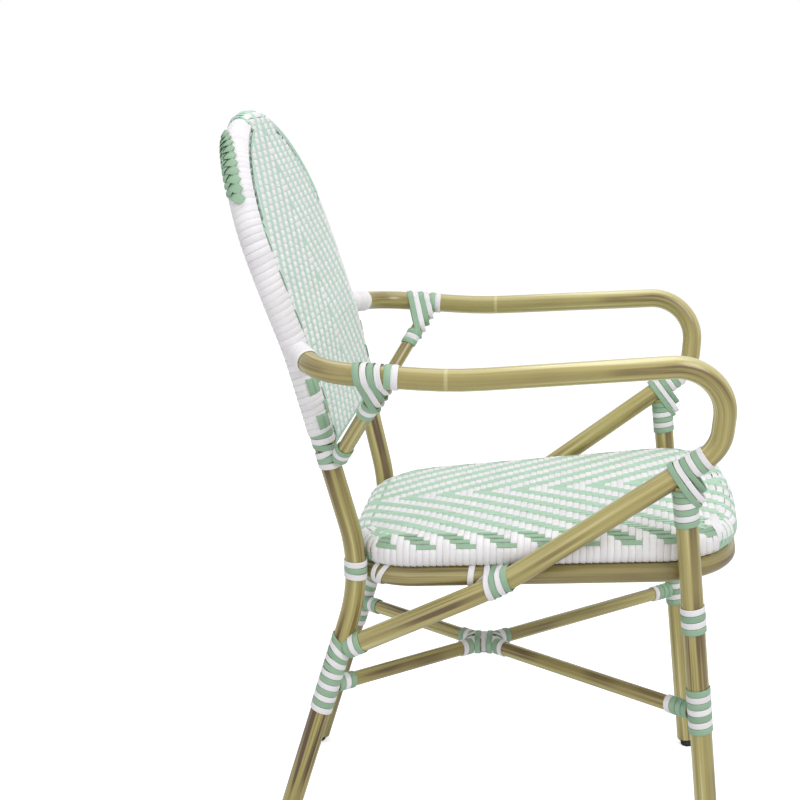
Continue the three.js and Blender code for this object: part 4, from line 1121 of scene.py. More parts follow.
@dataclass
class Winder:
    """Lays strand round tubes, sorted by colour, and turns it into pieces."""

    pitch: float = 0.008
    cover: float = 0.95
    thickness: float = 0.0016
    turn_steps: int = 28
    wrap_lean: float = 0.002
    slack: float = 0.0002
    outline_steps: int = 36
    laid: int = 0
    skins: dict[Tone, Skin] = field(default_factory=dict)

    def lay(self, tone: Tone, line: Sequence[Vector], faces: Sequence[Vector]) -> None:
        """Lay one closed turn of strand.

        Args:
            tone: Its colour.
            line: Its middle line.
            faces: Where its flat side faces.
        """
        if tone not in self.skins:
            self.skins[tone] = Skin()
        self.laid += 1
        widths = [self.pitch * self.cover] * len(line)
        self.skins[tone].ribbon(line, faces, widths, self.thickness, self.laid * TURN_MARK, looped=True)

    def band(self, route: Route, distance: float, radius: float, tone: Tone, lean: float = 0.0) -> None:
        """Lay one turn round a tube.

        Args:
            route: The tube's route.
            distance: Where the turn lies.
            radius: The tube's radius.
            tone: Its colour.
            lean: How far the turn leans along the tube from one side to the other.
        """
        line, faces = [], []
        for i in range(self.turn_steps):
            angle = 2.0 * math.pi * i / self.turn_steps
            point, _, normal, cross = route.at(distance + lean * math.cos(angle) / 2.0)
            out = around(normal, cross, angle)
            line.append(point + out * (radius + self.thickness / 2.0))
            faces.append(out)
        self.lay(tone, line, faces)

    def wrap(self, route: Route, middle: float, tones: Sequence[Tone], radius: float) -> None:
        """Lay turns side by side round a tube.

        Args:
            route: The tube's route.
            middle: Middle of the wrap.
            tones: Colour of each turn.
            radius: The tube's radius.
        """
        start = middle - len(tones) * self.pitch / 2.0
        for i, tone in enumerate(tones):
            self.band(route, start + (i + 0.5) * self.pitch, radius, tone, self.wrap_lean)

    def tie(self, tone: Tone, sections: Sequence[Section], origin: Vector, normal: Vector) -> None:
        """Pull one turn tight round several tubes, in one plane.

        Args:
            tone: Its colour.
            sections: Point, direction and radius of each tube.
            origin: A point of the plane.
            normal: The plane's normal.
        """
        first = sections[0][0] - sections[-1][0]
        if first.length < TINY:
            first = normal.orthogonal()
        along = (first - normal * first.dot(normal)).normalized()
        across = normal.cross(along)
        flat = []
        for point, direction, radius in sections:
            side_a = direction.cross(normal)
            side_a = side_a.normalized() if side_a.length > TINY else across
            side_b = direction.cross(side_a).normalized()
            grown = radius + self.thickness / 2.0 + self.slack
            for i in range(self.outline_steps):
                spot = point + around(side_a, side_b, 2.0 * math.pi * i / self.outline_steps) * grown
                slide = (origin - spot).dot(normal) / direction.dot(normal)
                spot = spot + direction * slide - origin
                flat.append((spot.dot(across), spot.dot(along)))
        spots = [origin + across * a + along * b for a, b in even(hull(flat), self.turn_steps * 2)]
        runs = [after - before for before, after in zip([spots[-1], *spots], [*spots[1:], spots[0]])]
        self.lay(tone, spots, [run.cross(normal).normalized() for run in runs])

    def pieces(self, name: str, *nodes: str) -> None:
        """Turn what was laid into one piece for each colour.

        Args:
            name: Start of the pieces' names.
            nodes: CAD nodes that they stand for.
        """
        for tone in Tone:
            if tone in self.skins:
                self.skins[tone].piece(f"{name}_{tone.value}", STRANDS[tone], *nodes)


def hull(points: Sequence[Spot]) -> list[Spot]:
    """Find the outline that a thread pulled tight round points takes.

    Args:
        points: The points.

    Returns:
        The outline's corners in order.
    """
    ordered = sorted(set(points))

    def half(spots: Sequence[Spot]) -> list[Spot]:
        """Walk along the points in order and keep those that the thread touches.

        Args:
            spots: The points in order.

        Returns:
            One half of the outline, without its last corner.
        """
        kept: list[Spot] = []
        for spot in spots:
            while len(kept) > 1:
                (ax, ay), (bx, by) = kept[-2], kept[-1]
                if (bx - ax) * (spot[1] - ay) - (by - ay) * (spot[0] - ax) > 0.0:
                    break
                kept.pop()
            kept.append(spot)
        return kept[:-1]

    return half(ordered) + half(ordered[::-1])


def even(loop: Sequence[Spot], count: int) -> list[Spot]:
    """Space points evenly round a closed outline.

    Args:
        loop: The outline's corners.
        count: How many points.

    Returns:
        The points.
    """
    closed = [*loop, loop[0]]
    reach = lengths(closed)
    spots = []
    for n in range(count):
        i, share = station(reach, reach[-1] * n / count)
        (ax, ay), (bx, by) = closed[i - 1], closed[i]
        spots.append((ax + (bx - ax) * share, ay + (by - ay) * share))
    return spots


# Weaving


def green_level(row: int, column: int) -> float:
    """Level of a green strand of the twill where it crosses a white one: 1 on top, -1 under."""
    return 1.0 if (row - column) % (2 * TWILL_RUN) < TWILL_RUN else -1.0


def halved(stops: Sequence[Spot]) -> list[Spot]:
    """Put a stop halfway between each two neighbours.

    Args:
        stops: Place and level of each stop.

    Returns:
        The stops with those between them.
    """
    full = [stops[0]]
    for a, b in zip(stops, stops[1:]):
        full += [((a[0] + b[0]) / 2.0, (a[1] + b[1]) / 2.0), b]
    return full


@dataclass
class Strand:
    """The middle line of one woven strand as it is being laid over and under."""

    rise: float
    thickness: float = 0.0013
    points: list[Vector] = field(default_factory=list)
    faces: list[Vector] = field(default_factory=list)
    widths: list[float] = field(default_factory=list)

    def add(self, point: Vector, facing: Vector, width: float, level: float) -> None:
        """Add a place.

        Args:
            point: Place on the woven surface.
            facing: The surface's direction there.
            width: The strand's width.
            level: 1 on top, -1 under, between them on its way.
        """
        self.points.append(point + facing * (self.rise * level))
        self.faces.append(facing)
        self.widths.append(width)

    def weave(self, stops: Sequence[Stop]) -> None:
        """Add stops on a rounded surface, with a place halfway between each two.

        Args:
            stops: Point, direction faced, width and level of each stop.
        """
        for (pa, na, wa, la), (pb, nb, wb, lb) in zip(stops, stops[1:]):
            self.add(pa, na, wa, la)
            bulge = (na + nb).normalized()
            apart = (pb - pa).length * math.sin(na.angle(nb) / 2.0) / 4.0
            self.add(pa.lerp(pb, 0.5) + bulge * apart, bulge, (wa + wb) / 2.0, (la + lb) / 2.0)
        self.add(*stops[-1])

    def lay(self, skin: Skin, mark: float) -> None:
        """Put the strand into a mesh under a number of its own."""
        if len(self.points) > 2:
            skin.ribbon(self.points, self.faces, self.widths, self.thickness, mark)


@dataclass
class BackWeave:
    """The woven back: the twill panel over the front of the hoop, the wrapped rim and its plait."""

    frame: Frame
    white_pitch: float = 0.008
    green_pitch: float = 0.0051
    white_width: float = 0.00788
    green_width: float = 0.004488
    white_rise: float = 0.001
    green_rise: float = 0.0005
    proud: float = 0.0152
    border: float = 0.004
    tuck: float = 0.006
    end_tuck: float = 0.003
    top_tuck: float = 0.002
    margin: float = 0.002
    halvings: int = 24
    over: float = 0.0125
    first_row: float = 0.335
    last_row: float = 0.004
    rail_lift: float = 0.0022
    rail_spare: float = 0.004
    rail_steps: int = 20
    rail_angles: tuple[float, ...] = (150.0, 120.0, 90.0, 60.0, 30.0)
    crown_stations: int = 30
    crown_angles: tuple[float, ...] = (66.0, 90.0, 120.0, 150.0, 180.0, 205.0)
    strap_slant: float = 0.27
    strap_lift: float = 0.0172
    strap_tight: float = 0.0148
    strap_under: float = 0.0137
    strap_dip: float = 0.001
    strap_ease: float = 4.0
    strap_lead: float = 0.1
    strap_angles: Spot = (-14.0, 318.0)
    strap_under_angle: float = 24.0
    strap_steps: int = 14
    strap_thickness: float = 0.0013
    strap_overlap: float = 1.1
    strap_tilt: float = 0.1
    strap_lean: float = 0.01
    strap_stray: float = 0.0016
    strap_pace: float = 12.9
    strap_start: float = 0.019
    plait_rows: int = 11
    plait_pitch: float = 0.0106
    plait_top: float = 0.889
    plait_tilt: float = 0.19
    plait_width: float = 0.0135
    plait_thickness: float = 0.0017
    plait_lift: float = 0.0176
    plait_steps: int = 6
    plait_swell: Spot = (0.15, 0.7)
    plait_bow: float = 0.0014
    plait_bow_pace: float = 1.25
    plait_sink: float = 0.0012
    plait_ridge: Spot = (112.0, 30.0)
    plait_front: Spot = (72.0, 52.0)
    plait_behind: Spot = (174.0, 50.0)
    plait_tuck: Spot = (7.0, -5.0)
    plait_fall: Spot = (0.004, 0.011)
    plait_fall_behind: float = 0.009
    edge_span: Spot = (0.795, 0.897)
    edge_angle: float = -17.0
    edge_lift: float = 0.0182
    edge_width: float = 0.0058
    edge_dip: float = 0.003
    edge_steps: int = 32
    edge_mark: float = 0.3
    tab_width: float = 0.0079
    tab_steps: int = 5
    tab_spread: float = 28.0
    tab_lifts: Triple = (0.0018, 0.0004, -0.0014)
    tabs: tuple[tuple[float, float, float, int], ...] = (
        (0.797, -6.0, 0.026, 1),
        (0.618, 20.0, 0.019, 1),
        (0.611, 47.0, 0.0235, 2),
        (0.582, 10.0, 0.022, 1),
        (0.569, 48.0, 0.021, 2),
    )

    def __post_init__(self) -> None:
        """Measure the hoop's profile from the rear tube."""
        points = self.frame.rear.points[: len(self.frame.rear.points) // 2 + 1]
        self.halves = [p.x for p in points]
        self.depths = [p.y for p in points]
        self.heights = [p.z for p in points]
        self.climb = lengths(list(zip(self.heights, self.depths)))
        self.base = follow(self.heights, self.climb, self.frame.rail_height)

    def climb_top(self) -> float:
        """Distance up the slope from the rail to the last strand over the crown."""
        return self.climb[-1] - self.base + self.over

    def height_at(self, climbed: float) -> float:
        """Height at a distance up the slope from the rail.

        Args:
            climbed: The distance.

        Returns:
            The height.
        """
        goal = climbed + self.base
        if goal > self.climb[-1]:
            return self.heights[-1] + (goal - self.climb[-1]) * self.lean_at(self.heights[-1]).z
        return follow(self.climb, self.heights, goal)

    def lean_at(self, height: float) -> Vector:
        """Direction up the slope at a height.

        Args:
            height: The height.

        Returns:
            The direction.
        """
        i, _ = station(self.heights, height)
        back, up = self.depths[i] - self.depths[i - 1], self.heights[i] - self.heights[i - 1]
        return Vector((0.0, back, up)).normalized()

    def surface(self, x: float, height: float, lift: float = 0.0) -> tuple[Vector, Vector]:
        """Place on the panel's front.

        Args:
            x: Place across.
            height: Height.
            lift: How far in front of the panel.

        Returns:
            The point and the direction it faces.
        """
        lean = self.lean_at(height)
        held = min(height, self.heights[-1])
        facing = LATERAL.cross(lean).normalized()
        depth = follow(self.heights, self.depths, height)
        point = Vector((x, depth, held)) + lean * ((height - held) / lean.z)
        inside, outward = self.inside(x, height)
        if inside >= 0.0:
            return point + facing * (self.proud + lift), facing
        rise = math.sqrt(max(self.proud**2 - inside**2, 0.0))
        normal = (facing * rise - (LATERAL * outward[0] + lean * outward[1]) * inside).normalized()
        return point + facing * rise + normal * lift, normal

    def inside(self, x: float, height: float) -> tuple[float, Spot]:
        """How far a place in the plane of the back lies inside the hoop's middle line.

        Args:
            x: Place across.
            height: Height.

        Returns:
            The distance, negative outside, and the outward direction across and up the slope.
        """
        spring = self.frame.spring_height
        if height <= spring:
            return self.half_at(height, 0.0) - abs(x), (math.copysign(1.0, x), 0.0)
        slant = math.hypot(1.0, self.frame.slope())
        wide, tall = self.frame.shoulder[0], (self.frame.crown_height - spring) * slant
        up = (height - spring) * slant
        share = max(math.hypot(x / wide, up / tall), TINY)
        fall = Vector((x / wide**2, up / tall**2)) / share
        return (1.0 - share) / fall.length, tuple(fall.normalized())

    def half_at(self, height: float, inset: float) -> float:
        """Half the hoop's width at a height of its straight part, drawn in by a border."""
        return follow(self.heights, self.halves, height) - inset

    def column_x(self, column: float, height: float) -> float:
        """Place across of a green strand, which fans with the hoop.

        Args:
            column: Its number from the centre line.
            height: The height.

        Returns:
            The place across.
        """
        spring = self.frame.spring_height
        fan = self.half_at(min(height, spring), self.border) / self.half_at(spring, self.border)
        return column * self.green_pitch * fan

    def last_inside(self, low: float, high: float, place: Callable[[float], Spot]) -> float:
        """Find how far a strand runs: to under the straps, or over the crown to its outer side.

        Args:
            low: A value where the strand still runs.
            high: A value where it has ended.
            place: Place across and height for a value.

        Returns:
            The value at the strand's end.
        """
        for _ in range(self.halvings):
            middle = (low + high) / 2.0
            inside, outward = self.inside(*place(middle))
            limit = -self.over if abs(outward[0]) < self.strap_slant else self.tuck
            low, high = (middle, high) if inside > limit else (low, middle)
        return low

    def build(self) -> None:
        """Weave the panel and wrap the rim and the rail."""
        columns = int(self.half_at(self.frame.spring_height, self.border) / self.green_pitch)
        first = math.ceil((self.first_row - self.climb_top()) / self.white_pitch)
        rows = range(first, int((self.first_row - self.last_row) / self.white_pitch) + 1)
        heights = {row: self.height_at(self.first_row - row * self.white_pitch) for row in rows}
        white, green = Skin(), Skin()
        for row, height in heights.items():
            self.white_row(white, row, height, columns)
        for column in range(columns):
            for sign in (-1, 1):
                self.green_column(green, column, sign, heights)
        white.piece("back_weave_white", WHITE, "back_panel_weave")
        green.piece("back_weave_green", MIST_GREEN, "back_panel_weave")
        self.wrap_rim()
        self.wrap_rail()

    def white_row(self, skin: Skin, row: int, height: float, columns: int) -> None:
        """Weave one strand across the back.

        Args:
            skin: The mesh it goes into.
            row: Its number.
            height: Its height.
            columns: How many green strands each half has.
        """
        reach = self.half_at(height, self.tuck)
        if height >= self.frame.spring_height:
            reach = self.last_inside(0.0, self.frame.shoulder[0] + self.over, lambda x: (x, height))
        places = [(self.column_x(column + 0.5, height), column) for column in range(columns)]
        stops = [(x, -green_level(row, column)) for x, column in places if x < reach - self.margin]
        if not stops:
            return
        strand = Strand(self.white_rise)
        strand.add(*self.surface(-reach, height, -self.end_tuck), self.white_width, -1.0)
        for x, level in halved([(-x, level) for x, level in reversed(stops)] + stops):
            strand.add(*self.surface(x, height), self.white_width, level)
        strand.add(*self.surface(reach, height, -self.end_tuck), self.white_width, -1.0)
        strand.lay(skin, row * ROW_MARK)

    def green_column(self, skin: Skin, column: int, sign: int, heights: dict[int, float]) -> None:
        """Weave one strand up the back, from under the rail to the hoop.

        Args:
            skin: The mesh it goes into.
            column: Its number from the centre line.
            sign: Which half it lies in.
            heights: Height of each white strand.
        """
        frame = self.frame
        place = column + 0.5
        across = self.column_x(place, frame.spring_height)
        limit = frame.crown_height + self.over
        top = self.last_inside(frame.spring_height, limit, lambda height: (across, height))
        strand = Strand(self.green_rise)
        rail = frame.rail.points[0]
        x = sign * self.column_x(place, frame.rail_height)
        _, facing = self.surface(x, frame.rail_height)
        for angle in self.rail_angles:
            out = Matrix.Rotation(math.radians(angle), 3, "X") @ facing
            point = Vector((x, rail.y, rail.z)) + out * (frame.brace_radius + self.rail_lift)
            strand.add(point, out, self.green_width, 0.0)
        rising = [row for row in sorted(heights, reverse=True) if heights[row] < top - self.margin]
        for height, level in halved([(heights[row], green_level(row, column)) for row in rising]):
            strand.add(*self.surface(sign * self.column_x(place, height), height), self.green_width, level)
        if abs(self.inside(across, top)[1][0]) > self.strap_slant:
            strand.add(*self.surface(sign * across, top, -self.top_tuck), self.green_width, -1.0)
        else:
            self.turn_over(strand, sign * across)
        strand.lay(skin, column * COLUMN_MARK + sign * HALF_MARK)

    def turn_over(self, strand: Strand, x: float) -> None:
        """Carry a green strand on over the crown and down behind it.

        Args:
            strand: The strand.
            x: Its place across.
        """
        rear = self.frame.rear
        middle = len(rear.points) // 2

        def miss(i: int) -> float:
            """How far the strand is from a station's outer side."""
            return abs(rear.points[i].x + self.rim_spot(rear.reach[i])[2].x * self.proud - x)

        spot = min(range(middle - self.crown_stations, middle + self.crown_stations + 1), key=miss)
        for degrees in self.crown_angles:
            _, _, out = self.rim_out(rear.reach[spot], degrees)
            point = rear.points[spot] + out * self.proud
            point.x = x
            strand.add(point, out, self.green_width, 0.0)

    def rim_spot(self, distance: float) -> tuple[Vector, Vector, Vector, Vector]:
        """Cross directions of the rim: outward in the plane of the back, and to the sitter's side.

        Args:
            distance: Distance along the rear tube.

        Returns:
            The point, the direction along, the direction outward and the direction faced.
        """
        point, tangent, _, _ = self.frame.rear.at(distance)
        facing = LATERAL.cross(self.lean_at(point.z)).normalized()
        outward = tangent.cross(facing).normalized()
        if outward.dot(point - Vector((0.0, point.y, self.frame.shoulder[2]))) < 0.0:
            outward.negate()
        turned = tangent.cross(outward).normalized()
        return point, tangent, outward, turned if turned.dot(facing) > 0.0 else -turned

    def rim_out(self, distance: float, degrees: float) -> tuple[Vector, Vector, Vector]:
        """Direction away from the rim's middle line, turned from the panel's face outward.

        Args:
            distance: Distance along the rear tube.
            degrees: How far it is turned: 0 to the sitter's side, 90 outward, 180 behind.

        Returns:
            The point, the direction along and the direction away.
        """
        point, tangent, outward, facing = self.rim_spot(distance)
        return point, tangent, around(facing, outward, math.radians(degrees))

    def strap_path(self, distance: float, lean: float, under: bool) -> tuple[list[Vector], list[Vector]]:
        """Path of one strap from the panel's face round the rim to behind it.

        Args:
            distance: Distance along the rear tube.
            lean: How far it runs along the rim on its way round.
            under: Whether the panel's strands turn over it.

        Returns:
            The middle line and where it faces.
        """
        line, faces = [], []
        first, last = self.strap_angles
        if under:
            first = self.strap_under_angle
        for step in range(self.strap_steps + 1):
            share = step / self.strap_steps
            point, tangent, out = self.rim_out(distance, first + (last - first) * share)
            ease = max(0.0, 1.0 - share * self.strap_ease)
            radius = self.strap_lift - (self.strap_lift - self.strap_tight) * (1.0 - ease * ease)
            if under:
                radius = self.strap_under
            elif step == 0:
                radius = self.strap_tight - self.strap_dip
            line.append(point + out * radius + tangent * (lean * (share - self.strap_lead)))
            faces.append((out + tangent * (self.strap_tilt * math.copysign(1.0, lean))).normalized())
        return line, faces

    def wrap_rim(self) -> None:
        """Wrap the whole rim and lay the plait, the green tabs and the panel's edges on it."""
        rear = self.frame.rear
        start = self.frame.rear_distance(self.frame.rail_height + self.strap_start, Side.LEFT)
        count = int((rear.total - 2.0 * start) / self.white_pitch)
        pitch = (rear.total - 2.0 * start) / count
        straps = Skin()
        for i in range(count):
            distance = start + (i + 0.5) * pitch
            mirror = 1.0 if distance > rear.total / 2.0 else -1.0
            under = abs(self.rim_spot(distance)[2].x) < self.strap_slant
            lean = (self.strap_lean + self.strap_stray * math.sin(i * self.strap_pace)) * mirror
            line, faces = self.strap_path(distance, lean, under)
            widths = [pitch * self.strap_overlap] * len(line)
            straps.ribbon(line, faces, widths, self.strap_thickness, i * STRAP_MARK)
        straps.piece("rim_straps", WHITE, "rim_weave")
        plait, edge = Skin(), Skin()
        for side in Side:
            self.lay_plait(plait, side)
            self.lay_tabs(plait, side)
            self.lay_edge(edge, side)
        plait.piece("rim_plait", GREEN, "rim_weave")
        edge.piece("rim_edge", MIST_GREEN, "rim_weave")

    def lay_plait(self, skin: Skin, side: Side) -> None:
        """Lay the herringbone plait on the outer shoulder of the rim.

        Args:
            skin: The mesh it goes into.
            side: Which shoulder.
        """
        top = self.frame.rear_distance(self.plait_top, side)
        down = -side.value
        shares = [n / self.plait_steps for n in range(self.plait_steps + 1)]
        start, span = self.plait_swell
        swell = [math.sin(math.pi * (start + span * share)) for share in shares]
        widths = [self.plait_width * (0.5 + 0.5 * full) for full in swell]
        for row in range(self.plait_rows):
            along = row / (self.plait_rows - 1.0)
            ridge = self.plait_ridge[0] + self.plait_ridge[1] * (1.0 - along) ** 2
            tip = self.plait_front[0] + self.plait_front[1] * (1.0 - along) ** 4
            fall = self.plait_fall[0] + self.plait_fall[1] * along
            strands = [(tip, ridge + self.plait_tuck[0], 0.0, fall)]
            if row < self.plait_rows - 1:
                tip = self.plait_behind[0] - self.plait_behind[1] * along
                strands.append((tip, ridge + self.plait_tuck[1], 0.5, self.plait_fall_behind))
            for tip, tuck, late, fall in strands:
                line, faces = [], []
                for share in shares:
                    distance = top + down * (self.plait_pitch * (row + late) + fall * (1.0 - share))
                    point, tangent, out = self.rim_out(distance, tip + (tuck - tip) * share)
                    bow = self.plait_bow * math.sin(math.pi * min(share * self.plait_bow_pace, 1.0))
                    line.append(point + out * (self.plait_lift + bow - self.plait_sink * share))
                    faces.append((out - tangent * (down * self.plait_tilt)).normalized())
                skin.ribbon(line, faces, widths, self.plait_thickness, row * PLAIT_MARK + late)

    def lay_flat(
        self, skin: Skin, lifts: Sequence[float], span: Spot, degrees: float, width: float, mark: float
    ) -> None:
        """Lay a strand along the rim at one angle round it.

        Args:
            skin: The mesh it goes into.
            lifts: Distance from the rim's middle line at each place.
            span: Distances along the rear tube of its first and last place.
            degrees: Its angle round the rim.
            width: Its width.
            mark: A number of its own.
        """
        line, faces = [], []
        for step, lift in enumerate(lifts):
            share = step / (len(lifts) - 1.0)
            point, _, out = self.rim_out(span[0] + (span[1] - span[0]) * share, degrees)
            line.append(point + out * lift)
            faces.append(out)
        skin.ribbon(line, faces, [width] * len(line), self.strap_thickness, mark)

    def lay_edge(self, skin: Skin, side: Side) -> None:
        """Lay the green strand that runs down the panel's edge from the shoulder.

        Args:
            skin: The mesh it goes into.
            side: Which edge.
        """
        low, high = (self.frame.rear_distance(height, side) for height in self.edge_span)
        end = self.edge_lift - self.edge_dip
        lifts = [end, *[self.edge_lift] * (self.edge_steps - 1), end]
        self.lay_flat(skin, lifts, (low, high), self.edge_angle, self.edge_width, self.edge_mark)

    def lay_tabs(self, skin: Skin, side: Side) -> None:
        """Lay the short green strands over the wraps at the lower end of the rim.

        Args:
            skin: The mesh it goes into.
            side: Which side of the rim.
        """
        high, low, end = (self.strap_tight + lift for lift in self.tab_lifts)
        for height, angle, length, strands in self.tabs:
            middle = self.frame.rear_distance(height, side)
            span = (middle - length / 2.0, middle + length / 2.0)
            lifts = [end, *[high if angle > 0.0 else low] * (self.tab_steps - 1), end]
            for n in range(strands):
                turned = angle + (n - (strands - 1) / 2.0) * self.tab_spread
                self.lay_flat(skin, lifts, span, turned, self.tab_width, angle)

    def wrap_rail(self) -> None:
        """Wrap the rail between the rims behind the panel's lower edge."""
        rail = self.frame.rail
        winder = Winder(turn_steps=self.rail_steps)
        bands = int((rail.total - 2.0 * self.frame.radius - self.rail_spare) / winder.pitch)
        winder.wrap(rail, rail.total / 2.0, [Tone.WHITE] * bands, self.frame.brace_radius)
        winder.pieces("rail_wrap", "rail_weave")


@dataclass
class SeatWeave:
    """The woven seat: a twill top that rolls over the edge into a wrapped skirt."""

    frame: Frame
    white_pitch: float = 0.008
    green_pitch: float = 0.0063
    white_width: float = 0.00788
    green_width: float = 0.005544
    white_rise: float = 0.001
    green_rise: float = 0.0006
    thickness: float = 0.035
    ring_gap: float = 0.00035
    crown: float = 0.005
    crown_reach: float = 0.15
    roll: float = 0.0217
    roll_turn: Sequence[float] = tuple(range(0, 91, 5))
    waist: float = 0.45
    foot: tuple[Spot, ...] = ((0.0003, 0.0115), (0.0021, 0.007), (0.005, 0.0028), (0.0091, 0.0004))
    edge_step: float = 0.002
    skirt_rows: int = 4
    end_rows: int = 3
    rear_skirt: float = 0.055
    skirt_tail: tuple[float, ...] = (0.003, 0.008, 0.014, 0.019, 0.024)
    end_tail: tuple[float, ...] = (0.003, 0.009, 0.015, 0.02, 0.025)
    tail_level: float = 0.6
    chevron_point: float = 0.10524
    corner: float = 0.707
    corner_more: float = 0.06
    steepest: float = 0.35
    margin: float = 0.001
    tuck: float = 0.004
    edge_tuck: float = 0.003
    core_depth: float = 0.0024
    core_skip: int = 3
    core_rings: tuple[float, ...] = (0.8, 0.55, 0.3, 0.1)
    fan_pitch: float = 0.0078
    fan_slant: Spot = (0.42, 0.76)
    fan_start: float = 0.006
    fan_width: float = 0.00468
    fan_dip: float = 0.6
    fan_drops: tuple[float, ...] = (0.013, 0.019, 0.025, 0.031, 0.052)

    def __post_init__(self) -> None:
        """Draw the outline and the profile of the rolled edge."""
        ring = self.frame.ring
        middle = Vector((0.0, (min(p.y for p in ring.points) + max(p.y for p in ring.points)) / 2.0, 0.0))
        self.edge: list[Edge] = []
        count = int(ring.total / self.edge_step)
        for i in range(count):
            point, tangent, _, _ = ring.at(ring.total * (i + 0.5) / count)
            out = tangent.cross(UP)
            out.z = 0.0
            out.normalize()
            if out.dot(Vector((point.x, point.y, 0.0)) - middle) < 0.0:
                out.negate()
            spot = point + out * (self.frame.radius - self.ring_gap)
            self.edge.append((Vector((spot.x, spot.y, 0.0)), out))
        self.tree = KDTree(count)
        for i, (spot, _) in enumerate(self.edge):
            self.tree.insert(spot, i)
        self.tree.balance()
        self.front = min(spot.y for spot, _ in self.edge)
        self.behind = max(spot.y for spot, _ in self.edge)
        self.shape: list[Spot] = []
        for degrees in self.roll_turn:
            angle = math.radians(degrees)
            height = self.waist + (1.0 - self.waist) * math.cos(angle)
            self.shape.append((self.roll * (1.0 - math.sin(angle)), self.thickness * height))
        self.shape += self.foot
        self.run = lengths(self.shape)
        self.columns = round(self.side_half((self.front + self.behind) / 2.0) / self.green_pitch)

    def side_half(self, y: float) -> float:
        """Half the width of the flat top between straight sides at a depth."""
        return self.frame.ring_side(y) + self.frame.radius - self.ring_gap - self.roll

    def rolled(self, distance: float) -> Quad:
        """Follow the rolled edge down from the flat top.

        Args:
            distance: Distance down the roll.

        Returns:
            Inset and height, and the outward and upward parts of the direction faced.
        """
        i, share = station(self.run, distance)
        (ia, ha), (ib, hb) = self.shape[i - 1], self.shape[i]
        span = self.run[i] - self.run[i - 1]
        return ia + (ib - ia) * share, ha + (hb - ha) * share, (ha - hb) / span, (ia - ib) / span

    def floor_at(self, y: float) -> float:
        """Height of the seat's underside at a depth."""
        return self.frame.seat_plane(y) + self.frame.radius + self.ring_gap

    def top(self, x: float, y: float, lift: float = 0.0) -> tuple[Vector, Vector]:
        """Place on the crowned top.

        Args:
            x: Place across.
            y: Depth.
            lift: How far above it.

        Returns:
            The point and the direction it faces.
        """
        _, _, away = self.tree.find(Vector((x, y, 0.0)))
        share = min(max((away - self.roll) / self.crown_reach, 0.0), 1.0)
        facing = Vector((0.0, self.frame.seat_rise, 1.0)).normalized()
        crown = self.crown * (1.0 - (1.0 - share) ** 2)
        return Vector((x, y, self.floor_at(y) + self.thickness + crown + lift)), facing

    def cross(self, axis: int, value: float, sign: int) -> Edge | None:
        """Find the outline where a straight line across the seat leaves it.

        Args:
            axis: 1 for a line at one depth, 0 for a line at one place across.
            value: The depth or the place across.
            sign: Which end of the line.

        Returns:
            The outline's point and outward direction, or nothing.
        """
        best = None
        for (a, na), (b, nb) in zip(self.edge, self.edge[1:] + self.edge[:1]):
            if (a[axis] - value) * (b[axis] - value) > 0.0 or a[axis] == b[axis]:
                continue
            share = (value - a[axis]) / (b[axis] - a[axis])
            spot = a.lerp(b, share)
            if best is None or sign * spot[1 - axis] > sign * best[0][1 - axis]:
                best = (spot, na.lerp(nb, share).normalized())
        return best

    def rim_place(self, edge: Edge, distance: float, axis: int | None = None) -> tuple[Vector, Vector]:
        """Place on the roll, straight in from the outline or in the upright plane along one axis.

        Args:
            edge: Outline point and outward direction.
            distance: Distance down the roll.
            axis: 0 for a strand that runs across, 1 for one that runs front to back.

        Returns:
            The point and the direction it faces.
        """
        spot, out = edge
        inset, height, outward, up = self.rolled(distance)
        moved = spot.copy()
        if axis is None:
            moved -= out * inset
        else:
            moved[axis] -= inset / out[axis]
        moved.z = self.floor_at(moved.y) + height
        return moved, (out * outward + UP * up).normalized()

    def column_x(self, column: float, y: float) -> float:
        """Place across of a green strand, which fans with the seat."""
        return column / self.columns * self.side_half(y)

    def rows(self) -> dict[int, float]:
        """Depth of each white strand on the top, by its number from a chevron's point.

        Returns:
            The depths by number.
        """
        first = math.ceil((self.chevron_point - self.behind + self.roll) / self.white_pitch)
        last = math.floor((self.chevron_point - self.front - self.roll) / self.white_pitch)
        return {row: self.chevron_point - row * self.white_pitch for row in range(first, last + 1)}

    def build(self) -> None:
        """Weave the seat over its core."""
        white, green, skirt = Skin(), Skin(), Skin()
        rows = self.rows()
        for row, y in rows.items():
            self.white_row(white, row, y)
        for column in range(self.columns):
            for sign in (-1, 1):
                self.green_column(green, column, sign, rows)
        for sign in (-1, 1):
            for step in range(self.skirt_rows):
                self.green_skirt(skirt, sign, step)
            for step in range(self.end_rows):
                self.white_end(white, sign, step, rows)
        self.fan_corners(white)
        white.piece("seat_weave_white", WHITE, "seat_weave")
        green.piece("seat_weave_green", PALE_GREEN, "seat_weave")
        # Painted shade: the skirt's strands take the darker green finish instead of the top's pale green, so
        # the rolled side reads as shaded.
        skirt.piece("seat_skirt_shaded_green", GREEN, "seat_weave")
        self.build_core()

    def skirt_level(self, row: int, step: int, y: float) -> float:
        """Level of a white strand where it crosses a green one of the skirt.

        Args:
            row: Which white strand.
            step: Which green one.
            y: Depth of the crossing.

        Returns:
            The level, 1 on top and -1 under.
        """
        if y > self.behind - self.rear_skirt and step > 0:
            return -1.0
        return -green_level(row, self.columns + step)

